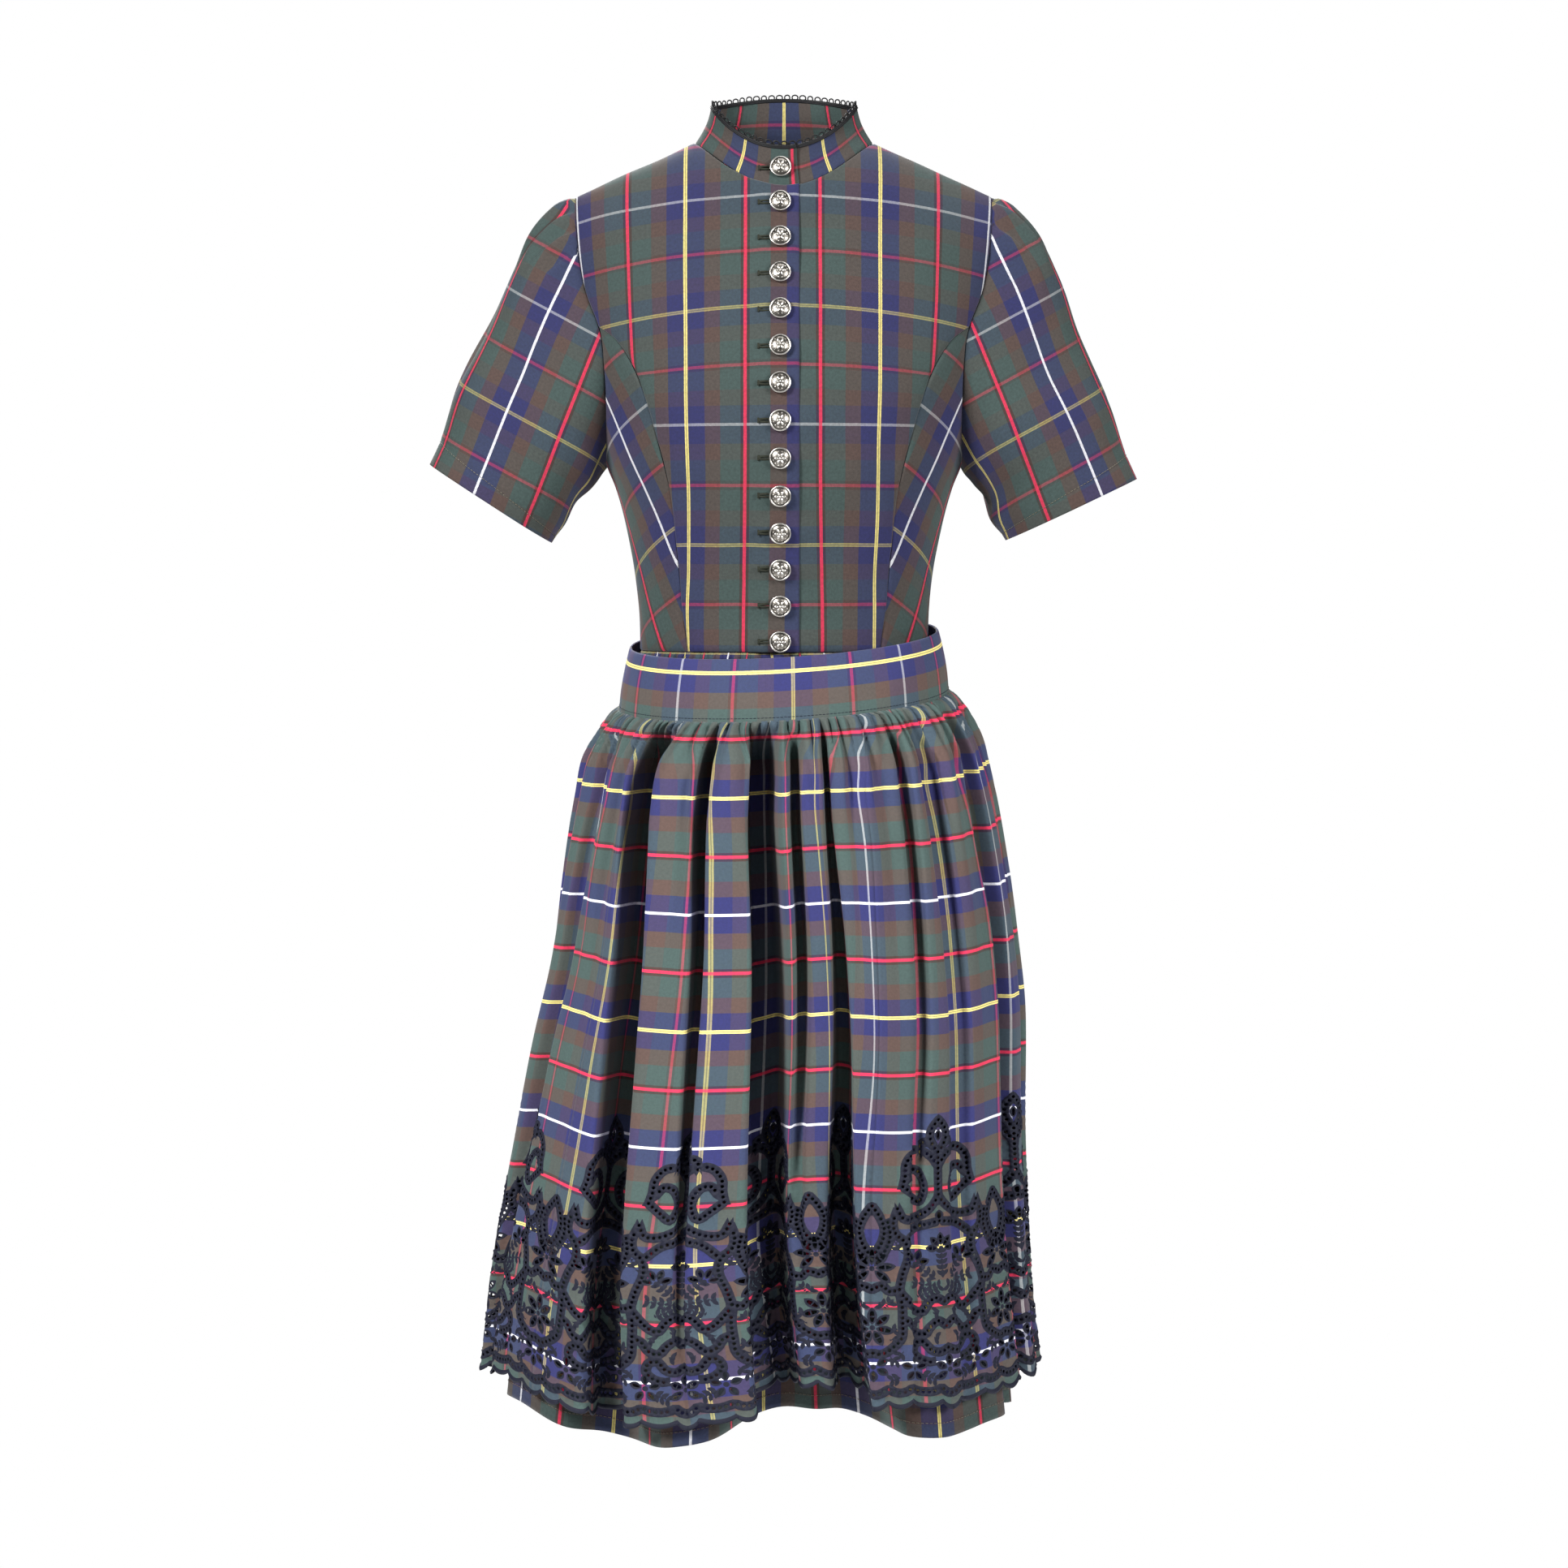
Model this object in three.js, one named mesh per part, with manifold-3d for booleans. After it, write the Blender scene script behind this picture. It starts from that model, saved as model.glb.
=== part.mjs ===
// A dirndl with its apron, standing open and hollow as it does when worn: a plaid bodice with a stand collar,
// fourteen domed buttons and short gathered sleeves, a gathered skirt below it, and an apron whose border is
// scalloped and pierced with petal-shaped openings.
//
// Units are millimetres. X runs to the wearer's left, Y to the wearer's back and Z up. The origin is the middle
// of the neck, level with the inner ends of the shoulder seams, where the wearer's shoulders carry the weight.
//
// Every piece of cloth is a wall: rows of points on a surface, and the same rows moved out along the surface's
// normal, stitched into one closed body.

import * as THREE from "three";
import Module from "manifold-3d";

// ---------------------------------------------------------------- driving dimensions

const CLOTH = 1.2; // one layer of cloth
const GAP = 0.3; // clearance at a seam
const SEAM_INSET = 0.2; // what each panel gives up at a seam
const CLOSING_GAP = 1; // between the two layers of the closing
const COLLAR_LIFT = 1.4; // the collar's lower edge stands this far over the neck seam

const NECK_HALF = 76; // half width of the neck seam
const NECK_DROP = 40; // how far the neck seam falls at the centre front
const NAPE_RISE = 5; // and how far it rises at the centre back
const SHOULDER_TIP_X = 175;
const SHOULDER_SLOPE = 0.45;
const FRONT_ROUND = 55; // how far below the shoulder line the front reaches its full depth
const BACK_ROUND = 50;
const NAPE_RIDGE = 12; // the shoulder line's rise behind the neck

const WAIST_Z = -426; // seam between bodice and skirt
const UNDERARM_Z = -270;
const OVERLAP = 12.5; // how far each front runs past the centre line

const COLLAR_HEIGHT = 33;
const RIM_HALF = 62; // the collar's upper edge: half width, and depth to the front and the back
const RIM_FRONT = 54;
const RIM_BACK = 47;

const BUTTON_RADIUS = 9;
const BUTTON_COUNT = 13; // on the bodice, and one more on the collar
const FIRST_BUTTON_Z = -55;
const BUTTON_PITCH = 30.15;
const BUTTON_X = -3;
const COLLAR_BUTTON_RISE = 0.46; // share of the collar's height

const BAND_WIDTH = 53; // apron waistband
const BAND_CLOTH = 2; // two layers and a stiffener
const APRON_WIDTH_DEG = 260; // how far round the apron reaches
const REPEAT = 130; // one repeat of the border
const REPEAT_COUNT = 10; // repeats along the apron's hem
const SCALLOP = 7;

const DEG = Math.PI / 180;

// ---------------------------------------------------------------- tables

// Torso under the bodice: half width, and depth to the front and the back, by height.
const TORSO = [
  { z: -440, half: 121, front: 94, back: 78 },
  { z: -398, half: 121.5, front: 97, back: 78 },
  { z: -370, half: 124, front: 102, back: 80 },
  { z: -343, half: 128, front: 108, back: 83 },
  { z: -315, half: 134, front: 115, back: 87 },
  { z: -288, half: 142, front: 121, back: 91 },
  { z: -270, half: 149, front: 124, back: 94 },
  { z: -235, half: 158, front: 126, back: 99 },
  { z: -200, half: 168, front: 122, back: 103 },
  { z: -150, half: 178, front: 108, back: 106 },
  { z: -100, half: 185, front: 89, back: 104 },
  { z: -45, half: 190, front: 68, back: 97 },
  { z: 0, half: 195, front: 62, back: 95 },
  { z: 25, half: 196, front: 60, back: 95 },
];

// Princess seam of the right or left front, from the waist up to the armhole.
const PRINCESS = [
  { z: -426, x: 80 },
  { z: -383, x: 85 },
  { z: -343, x: 88.5 },
  { z: -318, x: 90.5 },
  { z: -294, x: 93.6 },
  { z: -270, x: 99 },
  { z: -246, x: 106 },
  { z: -218, x: 113.5 },
  { z: -191, x: 124 },
  { z: -167, x: 139.5 },
  { z: -156, x: 154 },
];

// Armhole: angle round the torso from the centre line, on the front and on the back, by height.
const ARMHOLE = [
  { z: -45, front: 67.1, back: 67.1 },
  { z: -52, front: 67.3, back: 67 },
  { z: -70, front: 67.6, back: 66 },
  { z: -98, front: 67.4, back: 64.5 },
  { z: -126, front: 65.6, back: 63 },
  { z: -156, front: 60.6, back: 62 },
  { z: -180, front: 60.5, back: 62 },
  { z: -205, front: 63.2, back: 64.5 },
  { z: -230, front: 68.5, back: 69 },
  { z: -250, front: 74.5, back: 75 },
  { z: -264, front: 82, back: 82 },
  { z: -270, front: 90, back: 90 },
];
const PRINCESS_TOP_ROW = 5; // the armhole's row where the princess seam ends

// Half width of the hanging skirt and apron, and depth to the front and the back, by how far a point hangs
// below the apron's band or below the waist seam.
const APRON_HANG = [
  { drop: 0, half: 139, front: 111, back: 93 },
  { drop: 15, half: 151, front: 119, back: 106 },
  { drop: 40, half: 165, front: 133, back: 123 },
  { drop: 70, half: 173, front: 142, back: 131 },
  { drop: 100, half: 179.5, front: 148, back: 136 },
  { drop: 155, half: 189, front: 156, back: 144 },
  { drop: 210, half: 197, front: 163, back: 151 },
  { drop: 265, half: 205.5, front: 168, back: 156 },
  { drop: 320, half: 211, front: 173, back: 161 },
  { drop: 375, half: 216.5, front: 177.5, back: 166 },
  { drop: 430, half: 222.5, front: 182, back: 170 },
  { drop: 485, half: 229, front: 187, back: 175 },
  { drop: 580, half: 239, front: 193, back: 182 },
];
const SKIRT_HANG = [
  { drop: 0, half: 120, front: 93, back: 78 },
  { drop: 25, half: 125, front: 98, back: 83 },
  { drop: 55, half: 131, front: 103, back: 90 },
  { drop: 75, half: 142, front: 111, back: 102 },
  { drop: 100, half: 155, front: 124, back: 115 },
  { drop: 140, half: 166, front: 136, back: 126 },
  { drop: 200, half: 178, front: 146, back: 135 },
  { drop: 300, half: 193, front: 158, back: 147 },
  { drop: 420, half: 207, front: 168.5, back: 157 },
  { drop: 540, half: 219, front: 177, back: 166 },
  { drop: 660, half: 230, front: 183, back: 172 },
];

// Height of each hem round the body, by the angle from the centre front.
const HEMS = [
  { angle: -180, apron: -1032, skirt: -1067 },
  { angle: -125, apron: -1036, skirt: -1065 },
  { angle: -90, apron: -1034, skirt: -1056 },
  { angle: -62, apron: -1028, skirt: -1052 },
  { angle: -40, apron: -1045, skirt: -1071 },
  { angle: -24, apron: -1053, skirt: -1078 },
  { angle: -8, apron: -1046, skirt: -1066 },
  { angle: 4, apron: -1027, skirt: -1056 },
  { angle: 14, apron: -1024, skirt: -1055 },
  { angle: 26, apron: -1036, skirt: -1066 },
  { angle: 42, apron: -1041, skirt: -1073 },
  { angle: 62, apron: -1034, skirt: -1066 },
  { angle: 90, apron: -1032, skirt: -1064 },
  { angle: 130, apron: -1034, skirt: -1069 },
  { angle: 180, apron: -1032, skirt: -1067 },
];

// Deep folds of the skirt and apron: angle from the centre front near the waist and at the hem, depth there,
// half width in degrees, and which way the cloth leans over the fold.
const FOLDS = [
  { top: -63.5, hem: -78, topDepth: 14, hemDepth: 18, width: 5, lean: 0.5 },
  { top: -50, hem: -38, topDepth: 16, hemDepth: 12, width: 4.6, lean: -0.5 },
  { top: -36.6, hem: -27, topDepth: 18, hemDepth: 27, width: 4.6, lean: -1 },
  { top: -19.5, hem: -13, topDepth: 19, hemDepth: 5, width: 3.6, lean: -0.8 },
  { top: -8, hem: 0.5, topDepth: 14, hemDepth: 44, width: 3.9, lean: 1 },
  { top: -1.2, hem: 8, topDepth: 15, hemDepth: 12, width: 2.9, lean: 0 },
  { top: 6.4, hem: 13, topDepth: 13, hemDepth: 9, width: 3, lean: 0.8 },
  { top: 15, hem: 20, topDepth: 18, hemDepth: 38, width: 3.8, lean: -1 },
  { top: 34.6, hem: 34, topDepth: 19, hemDepth: 6, width: 4, lean: 1 },
  { top: 44.5, hem: 48, topDepth: 14, hemDepth: 8, width: 4.2, lean: 0.5 },
  { top: 65, hem: 70, topDepth: 15, hemDepth: 22, width: 4.8, lean: 0.6 },
  { top: 83, hem: 86, topDepth: 13, hemDepth: 16, width: 5, lean: -0.4 },
  { top: 100, hem: 103, topDepth: 15, hemDepth: 26, width: 5.2, lean: 0.5 },
  { top: 118, hem: 119, topDepth: 13, hemDepth: 15, width: 5, lean: -0.4 },
  { top: 137, hem: 139, topDepth: 15, hemDepth: 27, width: 5.2, lean: 0.4 },
  { top: 154, hem: 156, topDepth: 13, hemDepth: 14, width: 4.6, lean: 0 },
  { top: 170, hem: 173, topDepth: 15, hemDepth: 28, width: 5, lean: -0.5 },
  { top: -172, hem: -170, topDepth: 14, hemDepth: 13, width: 4.4, lean: 0 },
  { top: -156, hem: -153, topDepth: 15, hemDepth: 26, width: 5.2, lean: 0.5 },
  { top: -139, hem: -137, topDepth: 13, hemDepth: 14, width: 4.8, lean: 0 },
  { top: -121, hem: -119, topDepth: 15, hemDepth: 25, width: 5.2, lean: -0.4 },
  { top: -102, hem: -101, topDepth: 13, hemDepth: 15, width: 5, lean: 0.4 },
  { top: -82, hem: -90, topDepth: 12, hemDepth: 14, width: 4.4, lean: 0 },
];

// Sleeves: the wearer's side, the middle of the hem, and how far the hem's outer end tips up.
const SLEEVES = [
  { name: "sleeve_right", side: -1, hemX: 248, hemZ: -302, tilt: 32.8 },
  { name: "sleeve_left", side: 1, hemX: 243, hemZ: -307, tilt: 25 },
];
const SLEEVE_COLUMNS = 24;
const SLEEVE_HEM = { along: 60, across: 47, y: -8 };
// How far the sleeve's outer line stands off a straight line from shoulder to hem.
const SLEEVE_HEAD = [
  { share: 0, out: 0 },
  { share: 0.05, out: 10 },
  { share: 0.17, out: 19 },
  { share: 0.3, out: 16.5 },
  { share: 0.5, out: 12 },
  { share: 0.72, out: 7.5 },
  { share: 0.9, out: 1.5 },
  { share: 1, out: 0 },
];

// Lobes of the scalloped edge along one repeat of the border, as shares of the repeat and of the full depth.
const LOBES = [
  { share: 0.15, depth: 0.75 },
  { share: 0.17, depth: 1 },
  { share: 0.15, depth: 0.75 },
  { share: 0.2, depth: 0.6 },
  { share: 0.13, depth: 1 },
  { share: 0.2, depth: 0.6 },
];

// Petal openings of one repeat: the flower's place as a share of the repeat, its height above the hem, the
// distance of its petals from the middle, and the petals' directions in degrees from straight up.
const FLOWERS = [
  { share: 0.235, height: 66, reach: 12, petals: [0, 60, 120, 180, 240, 300] },
  { share: 0.765, height: 30, reach: 12, petals: [-60, 0, 60] },
];
const PETAL = { half: 2.3, length: 5.2 };

// ---------------------------------------------------------------- small helpers

const clamp01 = (v) => Math.min(1, Math.max(0, v));
const lerp = (a, b, s) => a + (b - a) * s;
const smoothstep = (a, b, v) => {
  const s = clamp01((v - a) / (b - a));
  return s * s * (3 - 2 * s);
};
const range = (n) => Array.from({ length: n }, (_, i) => i);
const shares = (n) => range(n + 1).map((i) => i / n);

// A smooth curve through one column of a table. The table may run up or down.
function read(table, key, value, at) {
  const rising = table[1][key] > table[0][key];
  const rows = rising ? table : [...table].reverse();
  let i = rows.findIndex((r) => r[key] > at) - 1;
  if (i === -2) i = rows.length - 2;
  i = Math.max(0, Math.min(i, rows.length - 2));
  const slope = (k) => {
    const a = rows[Math.max(0, k - 1)];
    const b = rows[Math.min(rows.length - 1, k + 1)];
    return (b[value] - a[value]) / (b[key] - a[key]);
  };
  const [p, q] = [rows[i], rows[i + 1]];
  const span = q[key] - p[key];
  const s = (at - p[key]) / span;
  if (s <= 0) return p[value] + slope(i) * (at - p[key]);
  if (s >= 1) return q[value] + slope(i + 1) * (at - q[key]);
  const [s2, s3] = [s * s, s * s * s];
  return (
    (2 * s3 - 3 * s2 + 1) * p[value] +
    (s3 - 2 * s2 + s) * span * slope(i) +
    (3 * s2 - 2 * s3) * q[value] +
    (s3 - s2) * span * slope(i + 1)
  );
}

// Shares of the way along a line of points, by length.
function alongShares(points) {
  const sums = [0];
  for (let i = 1; i < points.length; i++) {
    sums.push(sums[i - 1] + points[i].distanceTo(points[i - 1]));
  }
  return sums.map((s) => s / sums[sums.length - 1]);
}

// ---------------------------------------------------------------- walls

// Joins two rows of vertex numbers with triangles. The rows may have different counts.
function stitch(lower, upper, faces, turned = false) {
  const [a, b] = [lower.length - 1, upper.length - 1];
  const add = (p, q, r) => faces.push(turned ? [p, r, q] : [p, q, r]);
  let [i, j] = [0, 0];
  while (i < a || j < b) {
    if (j === b || (i < a && (i + 1) * b <= (j + 1) * a)) {
      add(lower[i], lower[i + 1], upper[j]);
      i += 1;
    } else {
      add(lower[i], upper[j + 1], upper[j]);
      j += 1;
    }
  }
}

// A closed body between rows of points and the same rows moved out along their normals. Each point is
// { p, n }. A closed wall's rows are loops. A folded wall's layers are stitched alike, so that they stay parallel.
function wall(rows, { closed = false, thickness = CLOTH, folded = false } = {}) {
  const positions = [];
  const layers = [0, 1].map((layer) =>
    rows.map((row) => {
      const numbers = row.map(({ p, n }) => {
        const v = p.clone().addScaledVector(n, layer * thickness);
        return positions.push(v.x, v.y, v.z) / 3 - 1;
      });
      return closed ? [...numbers, numbers[0]] : numbers;
    }),
  );
  const [inner, outer] = layers;
  const faces = [];
  for (let r = 0; r + 1 < rows.length; r++) {
    stitch(outer[r], outer[r + 1], faces);
    if (folded) stitch(inner[r], inner[r + 1], faces, true);
    else stitch(inner[r + 1], inner[r], faces);
  }
  const last = rows.length - 1;
  stitch(inner[0], outer[0], faces);
  stitch(outer[last], inner[last], faces);
  if (!closed) {
    const side = (layer, pick) => layer.map((row) => row[pick(row)]);
    const first = () => 0;
    const end = (row) => row.length - 1;
    stitch(side(outer, first), side(inner, first), faces);
    stitch(side(inner, end), side(outer, end), faces);
  }
  return bodyFrom(positions, faces.flat());
}

// A geometry whose faces point out.
function bodyFrom(positions, index) {
  const at = (i) => new THREE.Vector3().fromArray(positions, 3 * i);
  let volume = 0;
  for (let i = 0; i < index.length; i += 3) {
    volume += at(index[i]).dot(at(index[i + 1]).cross(at(index[i + 2])));
  }
  if (volume < 0) index = [...index].reverse();
  const geometry = new THREE.BufferGeometry();
  geometry.setAttribute("position", new THREE.Float32BufferAttribute(positions, 3));
  geometry.setIndex(index);
  return geometry;
}

// The normal of a surface given as a function of two parameters, on the side that `outward` points to.
function normalOf(surface, a, b, stepA, stepB, outward) {
  const da = surface(a + stepA, b).sub(surface(a - stepA, b));
  const db = surface(a, b + stepB).sub(surface(a, b - stepB));
  const n = da.cross(db).normalize();
  return n.dot(outward) < 0 ? n.negate() : n;
}

// ---------------------------------------------------------------- bodice

// Height of the shoulder line over x, in front of and behind it.
function shoulderLine(x, back) {
  const past = Math.abs(x) - NECK_HALF;
  if (past > 0) return -SHOULDER_SLOPE * past;
  return back ? NAPE_RIDGE * (1 - (x / NECK_HALF) ** 2) : 0;
}

// Squared share of the full depth that the torso has reached below the shoulder line.
function depthShare(x, z, back) {
  const q = (shoulderLine(x, back) - z) / (back ? BACK_ROUND : FRONT_ROUND);
  return q >= 1 ? 1 : 2 * q - q * q;
}

const half = (z) => read(TORSO, "z", "half", z);
const depth = (z, back) => read(TORSO, "z", back ? "back" : "front", z);
const angleAt = (x, z) => Math.asin(x / half(z)) / DEG;

// The torso's surface at an angle from the centre line and a height, and its normal there.
function torso({ angle, z, back }) {
  const x = half(z) * Math.sin(angle * DEG);
  const share = Math.sqrt(Math.max(0, depthShare(x, z, back)));
  const y = (back ? 1 : -1) * depth(z, back) * share * Math.cos(angle * DEG);
  const level = (px, pz) =>
    (y / depth(pz, back)) ** 2 + depthShare(px, pz, back) * ((px / half(pz)) ** 2 - 1);
  const step = 0.05;
  const n = new THREE.Vector3(
    (level(x + step, z) - level(x - step, z)) / (2 * step),
    (2 * y) / depth(z, back) ** 2,
    (level(x, z + step) - level(x, z - step)) / (2 * step),
  ).normalize();
  return { p: new THREE.Vector3(x, y, z), n };
}

// Height of the neck seam over x.
function neckSeam(x, back) {
  const inside = Math.max(0, 1 - (x / NECK_HALF) ** 2);
  return back ? NAPE_RISE * inside : -NECK_DROP * inside ** 1.2;
}

// A point of the torso's map: the angle from the centre line, and the height.
const onMap = (x, z) => ({ angle: angleAt(x, z), z });

const armholeLine = (key) => ARMHOLE.map((r) => ({ angle: r[key], z: r.z }));
const princessLine = () => PRINCESS.map((r) => onMap(r.x, r.z));
const sideSeamLine = (stations) => stations.map((s) => ({ angle: 90, z: lerp(WAIST_Z, UNDERARM_Z, s) }));

// Upper edge of half a front or back, from the centre to the shoulder's tip.
function topEdge(startX, back) {
  const closing = back ? [startX] : [startX, 0];
  const from = back ? 18 : OVERLAP;
  const neckStations = [...closing, ...[0, 0.38, 0.72, 1].map((s) => lerp(from, NECK_HALF, s))];
  const neck = neckStations.map((x) => onMap(x, neckSeam(x, back)));
  const shoulder = [0.34, 0.67, 1].map((s) => {
    const x = lerp(NECK_HALF, SHOULDER_TIP_X, s);
    return onMap(x, shoulderLine(x, back));
  });
  return [...neck, ...shoulder];
}

// Fills four edges of the torso's map with a grid, pulls its border in by the seam inset, and lifts it to the
// torso's surface. Bottom and top run the same way, and so do left and right.
function panelGrid({ left, right, bottom, top, back = false, side = 1 }) {
  const mapOf = (edge) => edge.map((m) => torso({ ...m, back }).p);
  const v = alongShares(mapOf(right));
  const u = alongShares(mapOf(bottom));
  const corner = (key, a, b) =>
    (1 - a) * (1 - b) * left[0][key] +
    a * (1 - b) * right[0][key] +
    (1 - a) * b * left[left.length - 1][key] +
    a * b * right[right.length - 1][key];
  const value = (key, i, j) =>
    lerp(left[i][key], right[i][key], u[j]) +
    lerp(bottom[j][key], top[j][key], v[i]) -
    corner(key, u[j], v[i]);
  const map = v.map((_, i) =>
    u.map((__, j) => ({ angle: value("angle", i, j), z: value("z", i, j) })),
  );
  const pull = (m, inner) => {
    const at = (s) => ({ angle: lerp(m.angle, inner.angle, s), z: lerp(m.z, inner.z, s) });
    const edge = torso({ ...m, back }).p;
    let [low, high] = [0, 0.5];
    while (high - low > 1e-6) {
      const s = (low + high) / 2;
      if (torso({ ...at(s), back }).p.distanceTo(edge) < SEAM_INSET) low = s;
      else high = s;
    }
    return at(high);
  };
  const [rows, columns] = [map.length - 1, map[0].length - 1];
  for (const row of map) {
    row[0] = pull(row[0], row[1]);
    row[columns] = pull(row[columns], row[columns - 1]);
  }
  map[0] = map[0].map((m, j) => pull(m, map[1][j]));
  map[rows] = map[rows].map((m, j) => pull(m, map[rows - 1][j]));
  return map.map((row) => row.map((m) => mirrored(torso({ ...m, back }), side)));
}

// Places a point of the wearer's left on the side asked for.
function mirrored({ p, n }, side) {
  const flip = new THREE.Vector3(side, 1, 1);
  return { p: p.clone().multiply(flip), n: n.clone().multiply(flip) };
}

// How far the upper layer of the closing is lifted off the lower one, by its distance from the centre.
const closingLift = (x) => (CLOTH + CLOSING_GAP) * (1 - smoothstep(OVERLAP + 2, OVERLAP + 18, x));

function frontPanel(side, isUpper) {
  const top = topEdge(-OVERLAP, false);
  const outer = [...princessLine(), ...armholeLine("front").slice(0, PRINCESS_TOP_ROW).reverse()];
  const v = alongShares(outer.map((m) => torso(m).p));
  const inner = v.map((s) => onMap(-OVERLAP, lerp(WAIST_Z, top[0].z, s)));
  const closing = [-OVERLAP, 0, OVERLAP];
  const rest = alongShares(top.slice(2).map((m) => torso(m).p)).slice(1);
  const bottom = [...closing, ...rest.map((s) => lerp(OVERLAP, PRINCESS[0].x, s))].map((x) => onMap(x, WAIST_Z));
  const grid = panelGrid({ left: inner, right: outer, bottom, top, side });
  if (isUpper) {
    for (const { p, n } of grid.flat()) p.addScaledVector(n, closingLift(p.x * side));
  }
  return wall(grid);
}

function sidePanel(side) {
  const armhole = armholeLine("front").slice(PRINCESS_TOP_ROW);
  const spread = alongShares(armhole.map((m) => torso(m).p));
  const start = onMap(PRINCESS[0].x, WAIST_Z).angle;
  const bottom = spread.map((s) => ({ angle: lerp(start, 90, s), z: WAIST_Z }));
  const seam = princessLine();
  const right = sideSeamLine(alongShares(seam.map((m) => torso(m).p)));
  return wall(panelGrid({ left: seam, right, bottom, top: armhole, side }));
}

function backPanel() {
  const edge = [...sideSeamLine(shares(5)), ...armholeLine("back").slice(0, -1).reverse()];
  const opposite = edge.map(({ angle, z }) => ({ angle: -angle, z }));
  const halfTop = topEdge(0, true);
  const top = [...halfTop.slice(1).reverse().map(({ angle, z }) => ({ angle: -angle, z })), ...halfTop];
  const bottom = shares(top.length - 1).map((s) => ({ angle: lerp(-90, 90, s), z: WAIST_Z }));
  return wall(panelGrid({ left: opposite, right: edge, bottom, top, back: true }));
}

// ---------------------------------------------------------------- collar and its trim

const COLLAR_START = Math.asin(OVERLAP / NECK_HALF) / DEG;
const COLLAR_SWEEP = 360 + 2 * COLLAR_START;

// The collar's surface: share 0 to 1 round it from its upper end, rise 0 at the seam and 1 at the rim.
function collarPoint(share, rise) {
  const turn = (COLLAR_START - share * COLLAR_SWEEP) * DEG;
  const back = Math.cos(turn) < 0;
  const x = NECK_HALF * Math.sin(turn);
  const z = neckSeam(x, back);
  const seam = torso({ angle: angleAt(x, z), z, back }).p;
  const outward = new THREE.Vector3(Math.sin(turn), -Math.cos(turn), 0);
  const rimDepth = back ? RIM_BACK : RIM_FRONT;
  const front = Math.max(0, Math.cos(turn));
  const rim = new THREE.Vector3(
    RIM_HALF * Math.sin(turn),
    -rimDepth * Math.cos(turn),
    COLLAR_HEIGHT - 1 - (NECK_DROP - 1) * front ** 1.6 + 2 * NAPE_RISE * (back ? Math.cos(turn) ** 2 : 0),
  );
  const overlapLift = (CLOTH + CLOSING_GAP) * (1 - smoothstep(0.06, 0.1, share));
  const inset = CLOTH + GAP + 0.2 - overlapLift;
  seam.addScaledVector(outward, -inset).setZ(seam.z + COLLAR_LIFT);
  rim.addScaledVector(outward, -inset);
  const hollow = -2.5 * Math.sin(Math.PI * rise);
  return seam.lerp(rim, rise).addScaledVector(outward, hollow);
}

function collarRow(rise, count, extra = () => 0) {
  return shares(count).map((share) => {
    const p = collarPoint(share, rise);
    const n = normalOf(collarPoint, share, rise, 0.002, 0.02, new THREE.Vector3(p.x, p.y, 0));
    p.z += extra(share);
    return { p, n };
  });
}

const collar = () => wall([0, 0.5, 1].map((rise) => collarRow(rise, 34)));

// A narrow edging that stands on the rim. Its upper edge rises and falls once for each picot.
function collarTrim() {
  const picots = 24;
  const base = GAP + 0.1;
  const tip = (share) => base + 2 + 2.2 * Math.abs(Math.sin(Math.PI * picots * share));
  const halfPicots = 2 * picots;
  return wall([collarRow(1, halfPicots, () => base), collarRow(1, halfPicots, tip)]);
}

// ---------------------------------------------------------------- sleeves

// The armhole's edge as a loop from the shoulder's tip down the front and up the back, a seam gap out from
// the bodice, with the bodice's own normals, for the wearer's left.
function armholeLoop() {
  const front = armholeLine("front").map((m) => ({ ...m, back: false }));
  const back = armholeLine("back").map((m) => ({ ...m, back: true })).reverse().slice(1, -1);
  const loop = [...front, ...back].map(torso);
  return loop.map(({ p, n }, i) => {
    const before = loop[(i + loop.length - 1) % loop.length].p;
    const after = loop[(i + 1) % loop.length].p;
    const away = after.clone().sub(before).cross(n).normalize();
    if (away.dot(new THREE.Vector3(1, 0, 0.6)) < 0) away.negate();
    return { p: p.clone().addScaledVector(away, GAP + 0.3), n };
  });
}

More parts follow.
